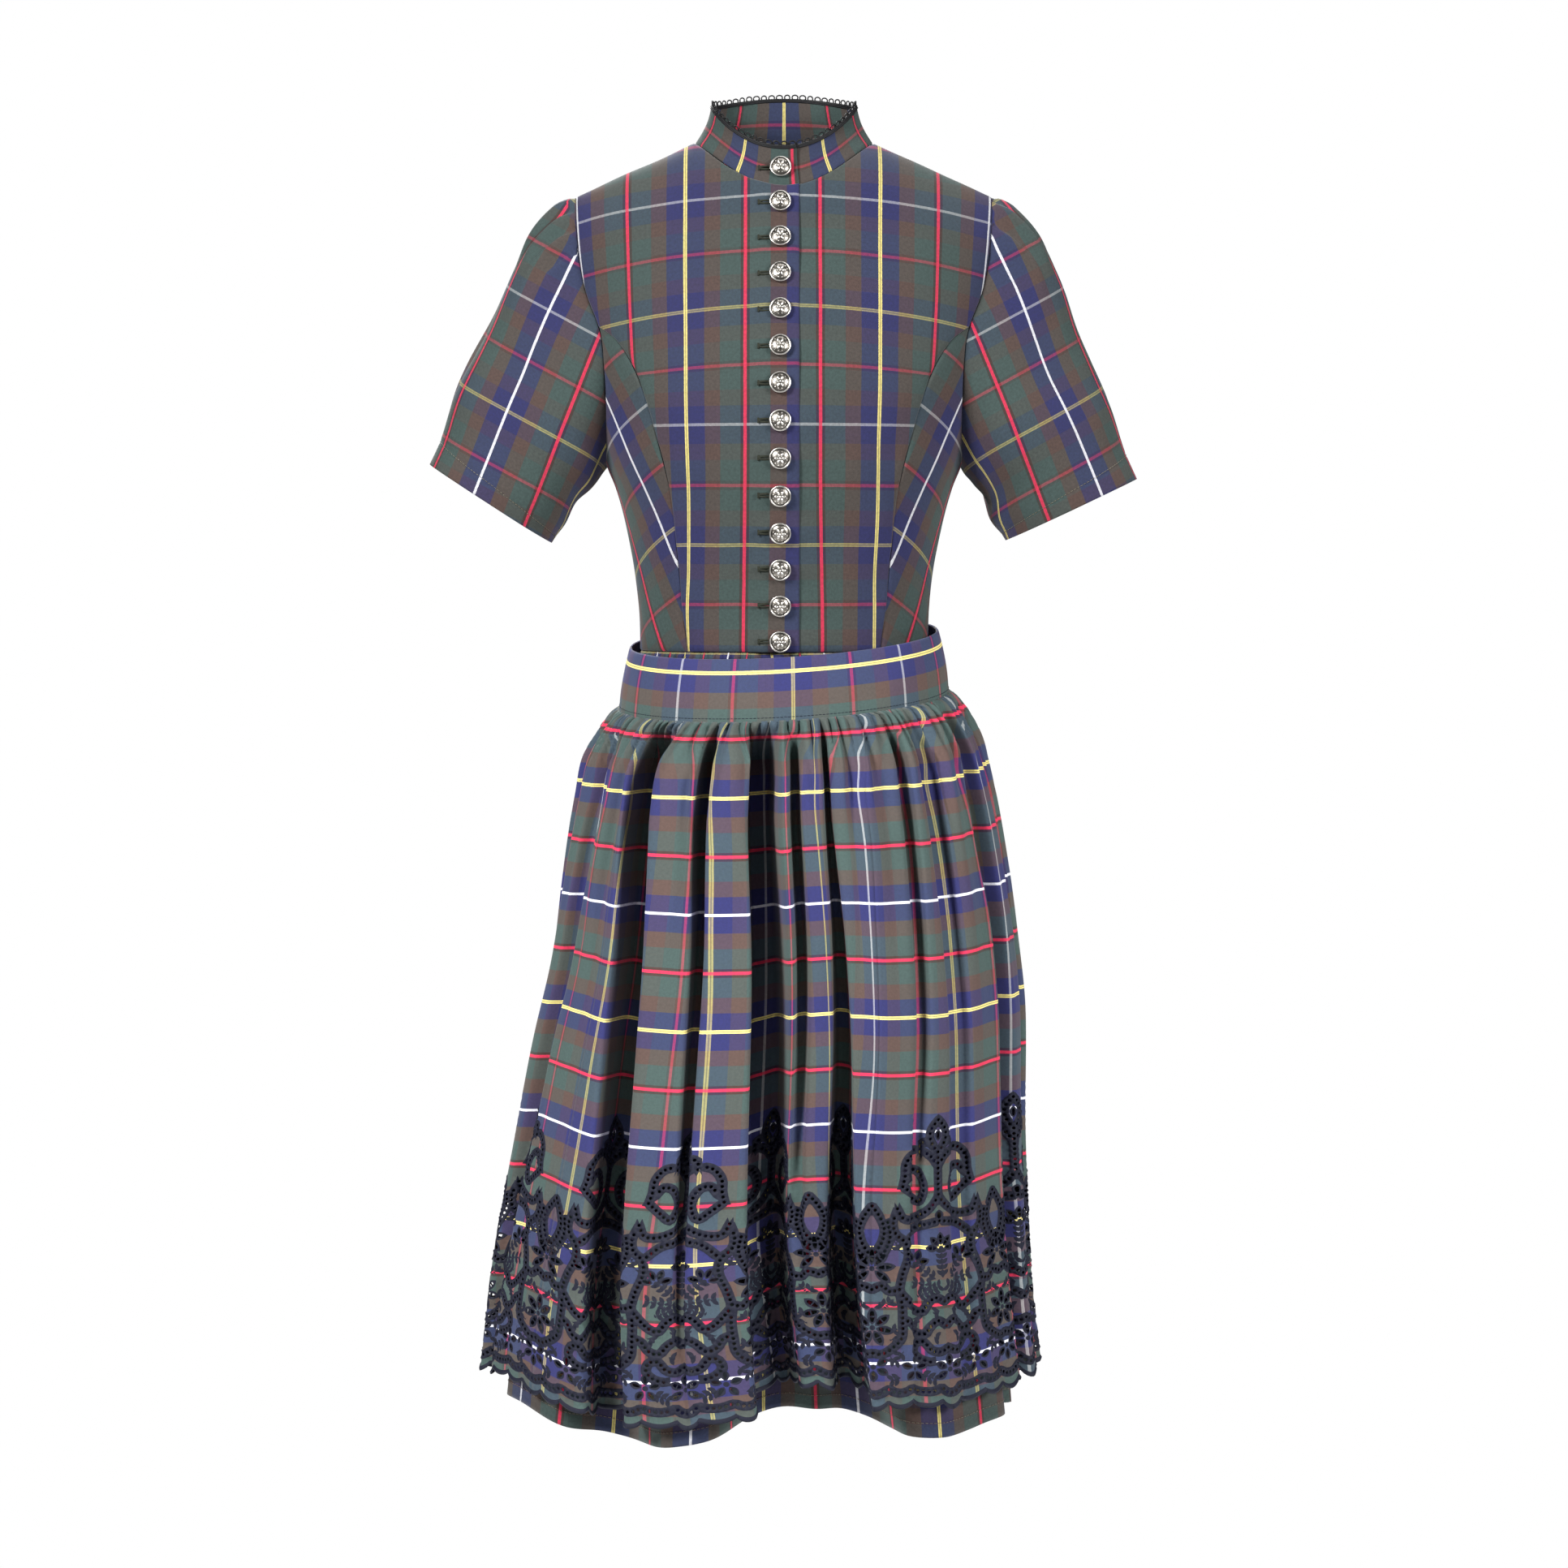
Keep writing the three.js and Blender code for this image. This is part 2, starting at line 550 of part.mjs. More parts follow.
function sleeve({ side, hemX, hemZ, tilt }) {
  const loop = armholeLoop();
  const shareOf = alongShares([...loop.map(({ p }) => p), loop[0].p]);
  const underarm = ARMHOLE.length - 1;
  const along = new THREE.Vector3(Math.cos(tilt * DEG), 0, Math.sin(tilt * DEG));
  const middle = new THREE.Vector3(hemX, SLEEVE_HEM.y, hemZ);
  const tip = loop[0].p;
  const hemEnd = middle.clone().addScaledVector(along, SLEEVE_HEM.along);
  const outerLine = hemEnd.clone().sub(tip).normalize();
  const headOut = new THREE.Vector3(-outerLine.z, 0, outerLine.x);

  // A point of the armhole at a share of the way round.
  const armholeAt = (share) => {
    const s = ((share % 1) + 1) % 1;
    let i = shareOf.findIndex((v) => v > s) - 1;
    if (i < 0) i = loop.length - 1;
    const f = (s - shareOf[i]) / (shareOf[i + 1] - shareOf[i]);
    return loop[i].p.clone().lerp(loop[(i + 1) % loop.length].p, f);
  };
  // Turn round the sleeve: 0 at the outer line, half a turn at the underarm.
  const turnAt = (share) => {
    const s = ((share % 1) + 1) % 1;
    const low = shareOf[underarm];
    return s < low ? (Math.PI * s) / low : Math.PI * (1 + (s - low) / (1 - low));
  };
  const surface = (share, down) => {
    const turn = turnAt(share);
    const hem = middle
      .clone()
      .addScaledVector(along, SLEEVE_HEM.along * Math.cos(turn))
      .add(new THREE.Vector3(0, -SLEEVE_HEM.across * Math.sin(turn), 0));
    const head = read(SLEEVE_HEAD, "share", "out", down) * Math.max(0, Math.cos(turn)) ** 0.8;
    const swell = 7 * Math.sin(Math.PI * down) * Math.sin(turn);
    const gather =
      1.8 * Math.cos(16 * turn) * smoothstep(0.3, 0.04, down) * smoothstep(0.2, 0.8, Math.cos(turn));
    return armholeAt(share)
      .lerp(hem, down)
      .addScaledVector(headOut, head + gather)
      .add(new THREE.Vector3(0, -swell, 0));
  };
  const rowAt = (down) =>
    range(SLEEVE_COLUMNS).map((k) => {
      const p = surface(k / SLEEVE_COLUMNS, down);
      const centre = armholeAt(0).lerp(armholeAt(shareOf[underarm]), 0.5).lerp(middle, down);
      return { p, n: normalOf(surface, k / SLEEVE_COLUMNS, down, 0.004, 0.01, p.clone().sub(centre)) };
    });
  const rows = [loop, ...[0.06, 0.17, 0.32, 0.54, 0.78, 1].map(rowAt)];
  return wall(
    rows.map((row) => row.map((v) => mirrored(v, side))),
    { closed: true },
  );
}

// ---------------------------------------------------------------- buttons

// A domed button with a raised rim, facing +Z, its back at z = 0.
function buttonGeometry() {
  const profile = [
    [0, 0],
    [0.74, 0],
    [1, 0.2],
    [0.94, 0.34],
    [0.5, 0.48],
    [0, 0.54],
  ].map(([r, h]) => new THREE.Vector2(r * BUTTON_RADIUS, h * BUTTON_RADIUS));
  return new THREE.LatheGeometry(profile, 8).rotateX(Math.PI / 2);
}

function button(name, { p, n }, lift, material) {
  const mesh = new THREE.Mesh(buttonGeometry(), material);
  mesh.name = name;
  mesh.position.copy(p).addScaledVector(n, lift);
  mesh.quaternion.setFromUnitVectors(new THREE.Vector3(0, 0, 1), n);
  return mesh;
}

function bodiceButtonSeat(i) {
  const z = FIRST_BUTTON_Z - i * BUTTON_PITCH;
  return torso({ angle: angleAt(BUTTON_X, z), z, back: false });
}

function collarButtonSeat() {
  const share = (COLLAR_START - Math.asin(BUTTON_X / NECK_HALF) / DEG) / COLLAR_SWEEP;
  const p = collarPoint(share, COLLAR_BUTTON_RISE);
  const outward = new THREE.Vector3(p.x, p.y, 0);
  return { p, n: normalOf(collarPoint, share, COLLAR_BUTTON_RISE, 0.002, 0.02, outward) };
}

// ---------------------------------------------------------------- band, apron and skirt

// Lower edge of the apron's band: lowest at the front, a little higher on the wearer's left.
const bandBottom = (angle) => -469 - 14 * Math.cos(angle * DEG) + 7.5 * Math.sin(angle * DEG);
const apronHem = (angle) => read(HEMS, "angle", "apron", angle);
const skirtHem = (angle) => read(HEMS, "angle", "skirt", angle);
// The hem hangs a little towards the wearer's right.
const sway = (z) => -21 * smoothstep(-640, -980, z);

// A point of an oval round the body, and its outward direction.
function oval({ half: a, front, back }, angle, z) {
  const [s, c] = [Math.sin(angle * DEG), Math.cos(angle * DEG)];
  const b = c > 0 ? front : back;
  const p = new THREE.Vector3(sway(z) + a * s, -b * c, z);
  return { p, outward: new THREE.Vector3(s / a, -c / b, 0).normalize() };
}

const section = (table, drop) => ({
  half: read(table, "drop", "half", drop),
  front: read(table, "drop", "front", drop),
  back: read(table, "drop", "back", drop),
});

// How deep the folds are at an angle, and how far they draw the cloth round, in degrees.
function foldsAt(angle, drop, length, { depthScale, widthScale, leanScale }) {
  const share = clamp01((drop - 80) / (length - 80));
  const start = smoothstep(0, 70, drop);
  let [deep, turn] = [0, 0];
  for (const f of FOLDS) {
    const centre = lerp(f.top, f.hem, share);
    const off = ((((angle - centre) % 360) + 540) % 360) - 180;
    const u = off / (f.width * widthScale);
    if (Math.abs(u) > 4) continue;
    deep += start * depthScale * lerp(f.topDepth, f.hemDepth, share) * Math.exp(-u * u);
    const edge = u + 0.9 * Math.sign(f.lean);
    turn += start * leanScale * f.lean * f.width * Math.exp((-edge * edge) / 0.5);
  }
  return { deep, turn };
}

// The hanging cloth of one layer, at an angle and a share of the way down.
function hangingCloth({ table, topOf, hemOf, gathers, gatherDepth, folds, edge = () => 0 }) {
  return (angle, down) => {
    const top = topOf(angle);
    const length = top - hemOf(angle);
    const drop = down * length;
    const { deep, turn } = foldsAt(angle, drop, length, folds);
    const wave = Math.cos((gathers * angle * Math.PI) / 180);
    const gather = gatherDepth * wave * smoothstep(0, 6, drop) * smoothstep(55, 15, drop);
    const z = top - drop - down * down * edge(angle);
    const { p, outward } = oval(section(table, drop), angle + turn, z);
    return p.addScaledVector(outward, gather - deep);
  };
}

const APRON_EDGE_DEG = APRON_WIDTH_DEG / 2;
const apronShare = (angle) => (angle + APRON_EDGE_DEG) / APRON_WIDTH_DEG;

// Depth of the scalloped edge at an angle.
function scallop(angle) {
  let s = (((apronShare(angle) * REPEAT_COUNT) % 1) + 1) % 1;
  for (const { share, depth: lobe } of LOBES) {
    if (s <= share) return SCALLOP * lobe * Math.sin((Math.PI * s) / share) ** 0.7;
    s -= share;
  }
  return 0;
}

const APRON_GATHERS = 66;
const SKIRT_GATHERS = 72;
const apronSurface = hangingCloth({
  table: APRON_HANG,
  topOf: (angle) => bandBottom(angle) - 4 * GAP,
  hemOf: apronHem,
  gathers: (APRON_GATHERS * 360) / APRON_WIDTH_DEG,
  gatherDepth: 2.4,
  folds: { depthScale: 1, widthScale: 1, leanScale: 0.22 },
  edge: scallop,
});
const skirtSurface = hangingCloth({
  table: SKIRT_HANG,
  topOf: () => WAIST_Z - GAP - 0.2,
  hemOf: skirtHem,
  gathers: SKIRT_GATHERS,
  gatherDepth: 2,
  folds: { depthScale: 1, widthScale: 1.5, leanScale: 0.1 },
});

// The offset of a row's point that keeps a wall's thickness round the corner it makes with its neighbours.
function cornerOffset(before, p, after, fall) {
  const [a, b] = [p.clone().sub(before).normalize(), after.clone().sub(p).normalize()];
  const along = a.clone().add(b).normalize();
  const n = fall.clone().cross(along).normalize();
  return n.multiplyScalar(Math.min(1.5, 1 / Math.max(0.2, along.dot(a))));
}

// Rows of a hanging layer. Each row has its share of the way down and the shares of the way round it meets.
function hangingRows(surface, from, to, rows, closed = false) {
  return rows.map(({ down, round }) => {
    const angles = round.map((share) => lerp(from, to, share));
    const points = angles.map((angle) => surface(angle, down));
    const last = points.length - 1;
    return points.map((p, i) => {
      const before = points[i > 0 ? i - 1 : closed ? last : 0];
      const after = points[i < last ? i + 1 : closed ? 0 : last];
      const fall = surface(angles[i], down + 0.02).sub(surface(angles[i], down - 0.02));
      const ends = before === p ? [p.clone().multiplyScalar(2).sub(after), after] : [before, after];
      if (after === p) ends[1] = p.clone().multiplyScalar(2).sub(before);
      return { p, n: cornerOffset(ends[0], p, ends[1], fall) };
    });
  });
}

const APRON_COLUMNS = 72;
const SKIRT_COLUMNS = 72;

// Shares of the way round where the scalloped edge has its lobes' ends and middles.
function lobeStations() {
  const stations = [0];
  for (const repeat of range(REPEAT_COUNT)) {
    let start = repeat;
    for (const { share } of LOBES) {
      for (const part of [1 / 3, 2 / 3, 1]) stations.push((start + share * part) / REPEAT_COUNT);
      start += share;
    }
  }
  return stations;
}

const APRON_ROWS = [
  ...[0, 0.03].map((down) => ({ down, round: shares(2 * APRON_GATHERS) })),
  ...[0.09, 0.17, 0.29, 0.44, 0.6, 0.76, 0.92, 0.985].map((down) => ({ down, round: shares(APRON_COLUMNS) })),
  { down: 1, round: lobeStations() },
];
const SKIRT_ROWS = [
  ...[0, 0.05].map((down) => ({ down, round: shares(2 * SKIRT_GATHERS).slice(0, -1) })),
  ...[0.12, 0.24, 0.42, 0.62, 0.82, 1].map((down) => ({ down, round: shares(SKIRT_COLUMNS).slice(0, -1) })),
];

const skirt = () => wall(hangingRows(skirtSurface, -180, 180, SKIRT_ROWS, true), { closed: true, folded: true });

// A petal-shaped prism that goes through the apron's wall.
function petalCutter(angle, height, direction) {
  const length = bandBottom(angle) - apronHem(angle);
  const down = 1 - height / length;
  const at = apronSurface(angle, down);
  const sideways = apronSurface(angle + 0.5, down).sub(at).setZ(0).normalize();
  const up = new THREE.Vector3(0, 0, 1);
  const outward = sideways.clone().cross(up).normalize();
  const [c, s] = [Math.cos(direction * DEG), Math.sin(direction * DEG)];
  const long = up.clone().multiplyScalar(c).addScaledVector(sideways, s);
  const wide = up.clone().multiplyScalar(-s).addScaledVector(sideways, c);
  const outline = [
    [PETAL.length, 0],
    [0, PETAL.half],
    [-PETAL.length, 0],
    [0, -PETAL.half],
  ];
  const reach = 5;
  const positions = [];
  for (const end of [-reach, reach]) {
    for (const [l, w] of outline) {
      const v = at.clone().addScaledVector(long, l).addScaledVector(wide, w).addScaledVector(outward, end);
      positions.push(v.x, v.y, v.z);
    }
  }
  const index = [0, 1, 2, 0, 2, 3, 4, 6, 5, 4, 7, 6];
  for (const i of range(4)) {
    const next = (i + 1) % 4;
    index.push(i, i + 4, next, next, i + 4, next + 4);
  }
  return bodyFrom(positions, index);
}

// Petal openings of every flower along the border.
function petalCutters() {
  const cutters = [];
  for (const repeat of range(REPEAT_COUNT)) {
    for (const { share, height, reach, petals } of FLOWERS) {
      const middle = ((repeat + share) / REPEAT_COUNT - 0.5) * APRON_WIDTH_DEG;
      const clothPerDegree = (REPEAT_COUNT * REPEAT) / APRON_WIDTH_DEG;
      for (const direction of petals) {
        const across = (reach * Math.sin(direction * DEG)) / clothPerDegree;
        const above = height + reach * Math.cos(direction * DEG);
        cutters.push(petalCutter(middle + across, above, direction));
      }
    }
  }
  return cutters;
}

function apron(wasm) {
  const rows = hangingRows(apronSurface, -APRON_EDGE_DEG, APRON_EDGE_DEG, APRON_ROWS);
  const cloth = wall(rows, { folded: true });
  const solid = (geometry) =>
    new wasm.Manifold(
      new wasm.Mesh({
        numProp: 3,
        vertProperties: new Float32Array(geometry.getAttribute("position").array),
        triVerts: new Uint32Array(geometry.index.array),
      }),
    );
  let cut = solid(cloth);
  for (const cutter of petalCutters()) cut = cut.subtract(solid(cutter));
  const [whole] = cut.decompose().sort((a, b) => b.volume() - a.volume()); // leaves out crumbs of a cut
  const { numProp, vertProperties, triVerts } = whole.getMesh();
  const positions = range(vertProperties.length / numProp).flatMap((i) => [
    ...vertProperties.subarray(i * numProp, i * numProp + 3),
  ]);
  return bodyFrom(positions, [...triVerts]);
}

// The band closes at the centre back, where its upper end lies over the lower one.
function apronBand() {
  const overlapDeg = 9;
  const surface = (share, rise) => {
    const angle = lerp(-180 - overlapDeg, 180 + overlapDeg, share);
    const z = bandBottom(angle) + BAND_WIDTH * rise;
    const size = { half: lerp(138, 129, rise), front: lerp(110, 104, rise), back: lerp(91, 79.6, rise) };
    const { p, outward } = oval(size, angle, z);
    const lift = (BAND_CLOTH + GAP) * smoothstep(0.93, 0.955, share);
    return p.addScaledVector(outward, lift + 1.5 * Math.sin(Math.PI * rise));
  };
  const rows = [0, 0.5, 1].map((rise) =>
    shares(42).map((share) => {
      const p = surface(share, rise);
      return { p, n: normalOf(surface, share, rise, 0.003, 0.02, new THREE.Vector3(p.x, p.y, 0)) };
    }),
  );
  return wall(rows, { thickness: BAND_CLOTH });
}

// ---------------------------------------------------------------- materials and assembly

const cloth = (color) => new THREE.MeshStandardMaterial({ color, roughness: 0.9, metalness: 0 });
const MATERIALS = {
  bodice: cloth(0x3a4250),
  apron: cloth(0x3c4650),
  trim: cloth(0x0b0b0d),
  button: new THREE.MeshStandardMaterial({ color: 0xb5b0a8, roughness: 0.35, metalness: 0.9 }),
};

function piece(name, geometry, material) {
  const mesh = new THREE.Mesh(geometry, material);
  mesh.name = name;
  return mesh;
}

const wasm = await Module();
wasm.setup();

const dirndl = new THREE.Group();
dirndl.add(piece("front_right", frontPanel(-1, true), MATERIALS.bodice));
dirndl.add(piece("front_left", frontPanel(1, false), MATERIALS.bodice));
dirndl.add(piece("side_front_right", sidePanel(-1), MATERIALS.bodice));
dirndl.add(piece("side_front_left", sidePanel(1), MATERIALS.bodice));
dirndl.add(piece("back", backPanel(), MATERIALS.bodice));
dirndl.add(piece("collar", collar(), MATERIALS.bodice));
dirndl.add(piece("collar_trim", collarTrim(), MATERIALS.trim));
for (const spec of SLEEVES) dirndl.add(piece(spec.name, sleeve(spec), MATERIALS.bodice));

dirndl.add(button("button_00", collarButtonSeat(), CLOTH + 1.5, MATERIALS.button));
for (const i of range(BUTTON_COUNT)) {
  const name = "button_" + String(i + 1).padStart(2, "0");
  dirndl.add(button(name, bodiceButtonSeat(i), 2 * CLOTH + CLOSING_GAP + 0.5, MATERIALS.button));
}

dirndl.add(piece("skirt", skirt(), MATERIALS.bodice));
dirndl.add(piece("apron_band", apronBand(), MATERIALS.apron));
dirndl.add(piece("apron", apron(wasm), MATERIALS.apron));

export default dirndl;
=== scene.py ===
"""A dirndl with its apron, dressed as cloth: tartan panels, gathers and folds, a cutwork border and buttons."""

import math
from contextlib import contextmanager

import bpy
import numpy as np
from mathutils import Matrix, Vector
from mathutils.geometry import delaunay_2d_cdt


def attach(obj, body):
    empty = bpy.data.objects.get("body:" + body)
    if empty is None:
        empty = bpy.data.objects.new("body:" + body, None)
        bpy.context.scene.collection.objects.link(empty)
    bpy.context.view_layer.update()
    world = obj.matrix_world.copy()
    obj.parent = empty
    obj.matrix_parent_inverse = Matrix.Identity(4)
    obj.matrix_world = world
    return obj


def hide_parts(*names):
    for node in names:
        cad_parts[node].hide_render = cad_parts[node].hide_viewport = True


bl_info = {
    "name": "Dirndl",
    "version": (1, 0, 0),
    "blender": (4, 5, 0),
    "location": "3D Viewport > Sidebar > Dirndl",
    "description": "Sews a plaid dirndl with a gathered apron and a cutwork border",
    "category": "Add Mesh",
}

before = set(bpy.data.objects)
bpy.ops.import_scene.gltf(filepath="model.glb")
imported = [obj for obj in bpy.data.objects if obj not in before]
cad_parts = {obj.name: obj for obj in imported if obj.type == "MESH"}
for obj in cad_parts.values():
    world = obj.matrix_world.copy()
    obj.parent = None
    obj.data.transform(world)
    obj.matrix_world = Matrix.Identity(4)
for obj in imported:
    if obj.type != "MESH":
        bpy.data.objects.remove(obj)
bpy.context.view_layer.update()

# ---------------------------------------------------------------- sizes in millimetres


def named_rows(columns, *rows):
    """Rows of named numbers."""
    return [dict(zip(columns.split(), row)) for row in rows]


CLOTH = 1.2  # the solids' wall, which the cloth's outer face follows
BODICE_WALL, COLLAR_WALL, SLEEVE_WALL, BAND_WALL, APRON_WALL, SKIRT_WALL = 0.9, 1.6, 1.0, 1.8, 0.6, 0.7
NECK_HALF = 76
NECK_DROP = 40
NAPE_RISE = 5
SHOULDER_TIP_X = 175
SHOULDER_SLOPE = 0.45
FRONT_ROUND = 55
BACK_ROUND = 50
NAPE_RIDGE = 12
WAIST_Z = -426
UNDERARM_Z = -270
ARMHOLE_TOP_Z = -45
PRINCESS_TOP_Z = -156  # where the princess seam meets the armhole
SIDE_SEAM = 90  # its angle from the centre front
OVERLAP = 12.5
CLOSING_LIFT = 2.2
COLLAR_HEIGHT = 33
COLLAR_LIFT = 1.4
RIM_HALF, RIM_FRONT, RIM_BACK = 62, 54, 47
BUTTON_X = -3
BUTTON_TOP_Z = -55
BUTTON_STEP = 30.15
BODICE_BUTTONS = 13
COLLAR_BUTTON_RISE = 0.46
BUTTONHOLE_AWAY, BUTTONHOLE_LONG, BUTTONHOLE_WIDE = 11.8, 5.8, 1.2  # from its button's centre, and half sizes
SLEEVE_HEM_HALF, SLEEVE_HEM_DEPTH = 60, 47
SLEEVE_STITCHES = 0.915  # their share of the way down the sleeve
BAND_WIDTH = 53
BAND_REACH = 189  # angle from the centre front to each end, which lap at the back
APRON_REACH = 130
APRON_LIFT = 1.5  # how far its top lies up under the band
APRON_CLOTH = 1300  # width of the apron's cloth
APRON_DROP = 600  # its length
APRON_PIECES = [("apron_cloth_right", 3), ("apron_cloth_front", 4), ("apron_cloth_left", 3)]  # repeats of each
APRON_SHIFT = 53  # how far the apron's cloth lies round at the front
APRON_PLAID = (65, 3)  # where on the cloth, down and across, the plaid's pattern starts
SKIRT_CLOTH = 1500
SKIRT_DROP = 640
SKIRT_STITCHES = 628  # how far down the skirt
FOLD_START = 80  # drop at which the deep folds begin to turn
FOLD_DEPTH = 1.35  # their depth in cloth, against the table
REPEAT = 130  # one repeat of the border
BORDER_TOP = 250
SCALLOP = 7
LOBES = [(0.15, 0.75), (0.17, 1), (0.15, 0.75), (0.2, 0.6), (0.13, 1), (0.2, 0.6)]  # share of a repeat, depth
PALMETTE_SHARE = 0.735  # the palmette's axis within a repeat

# Torso under the bodice: half width and depths by height.
TORSO = named_rows(
    "z half front back",
    (-440, 121, 94, 78),
    (-398, 121.5, 97, 78),
    (-370, 124, 102, 80),
    (-343, 128, 108, 83),
    (-315, 134, 115, 87),
    (-288, 142, 121, 91),
    (-270, 149, 124, 94),
    (-235, 158, 126, 99),
    (-200, 168, 122, 103),
    (-150, 178, 108, 106),
    (-100, 185, 89, 104),
    (-45, 190, 68, 97),
    (0, 195, 62, 95),
    (25, 196, 60, 95),
)
PRINCESS = named_rows(
    "z x",
    (-426, 80), (-383, 85), (-343, 88.5), (-318, 90.5), (-294, 93.6), (-270, 99), (-246, 106), (-218, 113.5),
    (-191, 124), (-167, 139.5), (-156, 154),
)
ARMHOLE = named_rows(
    "z front back",
    (-45, 67.1, 67.1), (-52, 67.3, 67), (-70, 67.6, 66), (-98, 67.4, 64.5), (-126, 65.6, 63), (-156, 60.6, 62),
    (-180, 60.5, 62), (-205, 63.2, 64.5), (-230, 68.5, 69), (-250, 74.5, 75), (-264, 82, 82), (-270, 90, 90),
)
APRON_HANG = named_rows(
    "drop half front back",
    (0, 139, 111, 93),
    (15, 151, 119, 106),
    (40, 165, 133, 123),
    (70, 173, 142, 131),
    (100, 179.5, 148, 136),
    (155, 189, 156, 144),
    (210, 197, 163, 151),
    (265, 205.5, 168, 156),
    (320, 211, 173, 161),
    (375, 216.5, 177.5, 166),
    (430, 222.5, 182, 170),
    (485, 229, 187, 175),
    (580, 239, 193, 182),
)
SKIRT_HANG = named_rows(
    "drop half front back",
    (0, 120, 93, 78),
    (25, 125, 98, 83),
    (55, 131, 103, 90),
    (75, 142, 111, 102),
    (100, 155, 124, 115),
    (140, 166, 136, 126),
    (200, 178, 146, 135),
    (300, 193, 158, 147),
    (420, 207, 168.5, 157),
    (540, 219, 177, 166),
    (660, 230, 183, 172),
)
# Height of each hem by the angle from the centre front.
HEMS = named_rows(
    "angle apron skirt",
    (-180, -1032, -1067), (-125, -1036, -1065), (-90, -1034, -1056), (-62, -1028, -1052), (-40, -1045, -1071),
    (-24, -1053, -1078), (-8, -1046, -1066), (4, -1027, -1056), (14, -1024, -1055), (26, -1036, -1066),
    (42, -1041, -1073), (62, -1034, -1066), (90, -1032, -1064), (130, -1034, -1069), (180, -1032, -1067),
)
# Deep folds: angle, depth and half width in degrees near the waist (top) and at the hem, and lean.
FOLDS = named_rows(
    "top hem top_depth hem_depth width hem_width lean",
    (-66, -77, 9, 18, 5, 5, 0),
    (-41.5, -30, 44, 36, 7, 7, -1),
    (-22.5, -14.5, 27, 1, 2.9, 1.3, -0.8),
    (-7.6, 2.2, 46, 46, 6.3, 6.8, 1),
    (5, 12.6, 0, 24, 11, 11, 0),
    (3, 9, 20, 0, 1.8, 1.8, 0),
    (12.3, 21, 12, 46, 1.6, 5.6, -1),
    (34.6, 34, 13, 2, 2.6, 2.6, 1),
    (44.5, 48, 11, 4, 4.2, 4.2, 0.5),
    (65, 70, 15, 22, 4.8, 4.8, 0.6),
    (83, 86, 13, 16, 5, 5, -0.4),
    (100, 103, 15, 26, 5.2, 5.2, 0.5),
    (118, 119, 13, 15, 5, 5, -0.4),
    (137, 139, 15, 27, 5.2, 5.2, 0.4),
    (154, 156, 13, 14, 4.6, 4.6, 0),
    (170, 173, 15, 28, 5, 5, -0.5),
    (-172, -170, 14, 13, 4.4, 4.4, 0),
    (-156, -153, 15, 26, 5.2, 5.2, 0.5),
    (-139, -137, 13, 14, 4.8, 4.8, 0),
    (-121, -119, 15, 25, 5.2, 5.2, -0.4),
    (-102, -101, 13, 15, 5, 5, 0.4),
    (-82, -90, 12, 14, 4.4, 4.4, 0),
)
SLEEVE_HEAD = named_rows(
    "share out",
    (0, 0), (0.05, 10), (0.17, 19), (0.3, 16.5), (0.5, 12), (0.72, 7.5), (0.9, 1.5), (1, 0),
)
SLEEVES = named_rows(
    "name side hem_x hem_z tilt stripe",
    ("sleeve_right", -1, 248, -302, 32.8, 12),
    ("sleeve_left", 1, 243, -307, 25, 25),
)

# ---------------------------------------------------------------- small mathematics


def curve(table, key, value, at):
    """A smooth curve through one column of a table."""
    rows = sorted(table, key=lambda r: r[key])
    x = np.array([r[key] for r in rows], float)
    y = np.array([r[value] for r in rows], float)
    slope = np.empty_like(y)
    slope[1:-1] = (y[2:] - y[:-2]) / (x[2:] - x[:-2])
    slope[0] = (y[1] - y[0]) / (x[1] - x[0])
    slope[-1] = (y[-1] - y[-2]) / (x[-1] - x[-2])
    at = np.asarray(at, float)
    i = np.clip(np.searchsorted(x, at, side="right") - 1, 0, len(x) - 2)
    span = x[i + 1] - x[i]
    s = (at - x[i]) / span
    t = np.clip(s, 0, 1)
    inside = (
        (2 * t**3 - 3 * t**2 + 1) * y[i]
        + (t**3 - 2 * t**2 + t) * span * slope[i]
        + (3 * t**2 - 2 * t**3) * y[i + 1]
        + (t**3 - t**2) * span * slope[i + 1]
    )
    past = np.where(s < 0, slope[i] * (at - x[i]), np.where(s > 1, slope[i + 1] * (at - x[i + 1]), 0))
    return inside + past


def smoothstep(a, b, v):
    """Rises softly from 0 at a to 1 at b."""
    s = np.clip((np.asarray(v, float) - a) / (b - a), 0, 1)
    return s * s * (3 - 2 * s)


LEVEL = [1, 1, 0]  # keeps the level part of a direction


def unit(v):
    return v / np.maximum(np.linalg.norm(v, axis=-1, keepdims=True), 1e-9)


def lengths(points):
    """Distances along a line of points."""
    return np.concatenate([[0], np.cumsum(np.linalg.norm(np.diff(points, axis=0), axis=1))])


def points_at(s, at, line):
    """Points of a line at distances s, where at holds the distance of each of its points."""
    return np.stack([np.interp(s, at, line[:, i]) for i in range(line.shape[1])], axis=-1)


def turned_out(normals, away):
    """Normals turned to the side of the directions away."""
    return -normals if (normals * away).sum() < 0 else normals


def grid_normals(p, closed=False):
    """Normals of a grid of points (rows, columns, 3)."""
    down = np.gradient(p, axis=0)
    if closed:
        across = np.roll(p, -1, axis=1) - np.roll(p, 1, axis=1)
    else:
        across = np.gradient(p, axis=1)
    return unit(np.cross(across, down))


def stations(length, step):
    """Shares from 0 to 1 at about that step, with finer ones near both ends."""
    inner = np.linspace(5.5, length - 5.5, max(2, int(round((length - 11) / step)) + 1))
    ends = np.array([0, 0.8, 1.9, 3.4])
    return np.concatenate([ends, inner, length - ends[::-1]]) / length


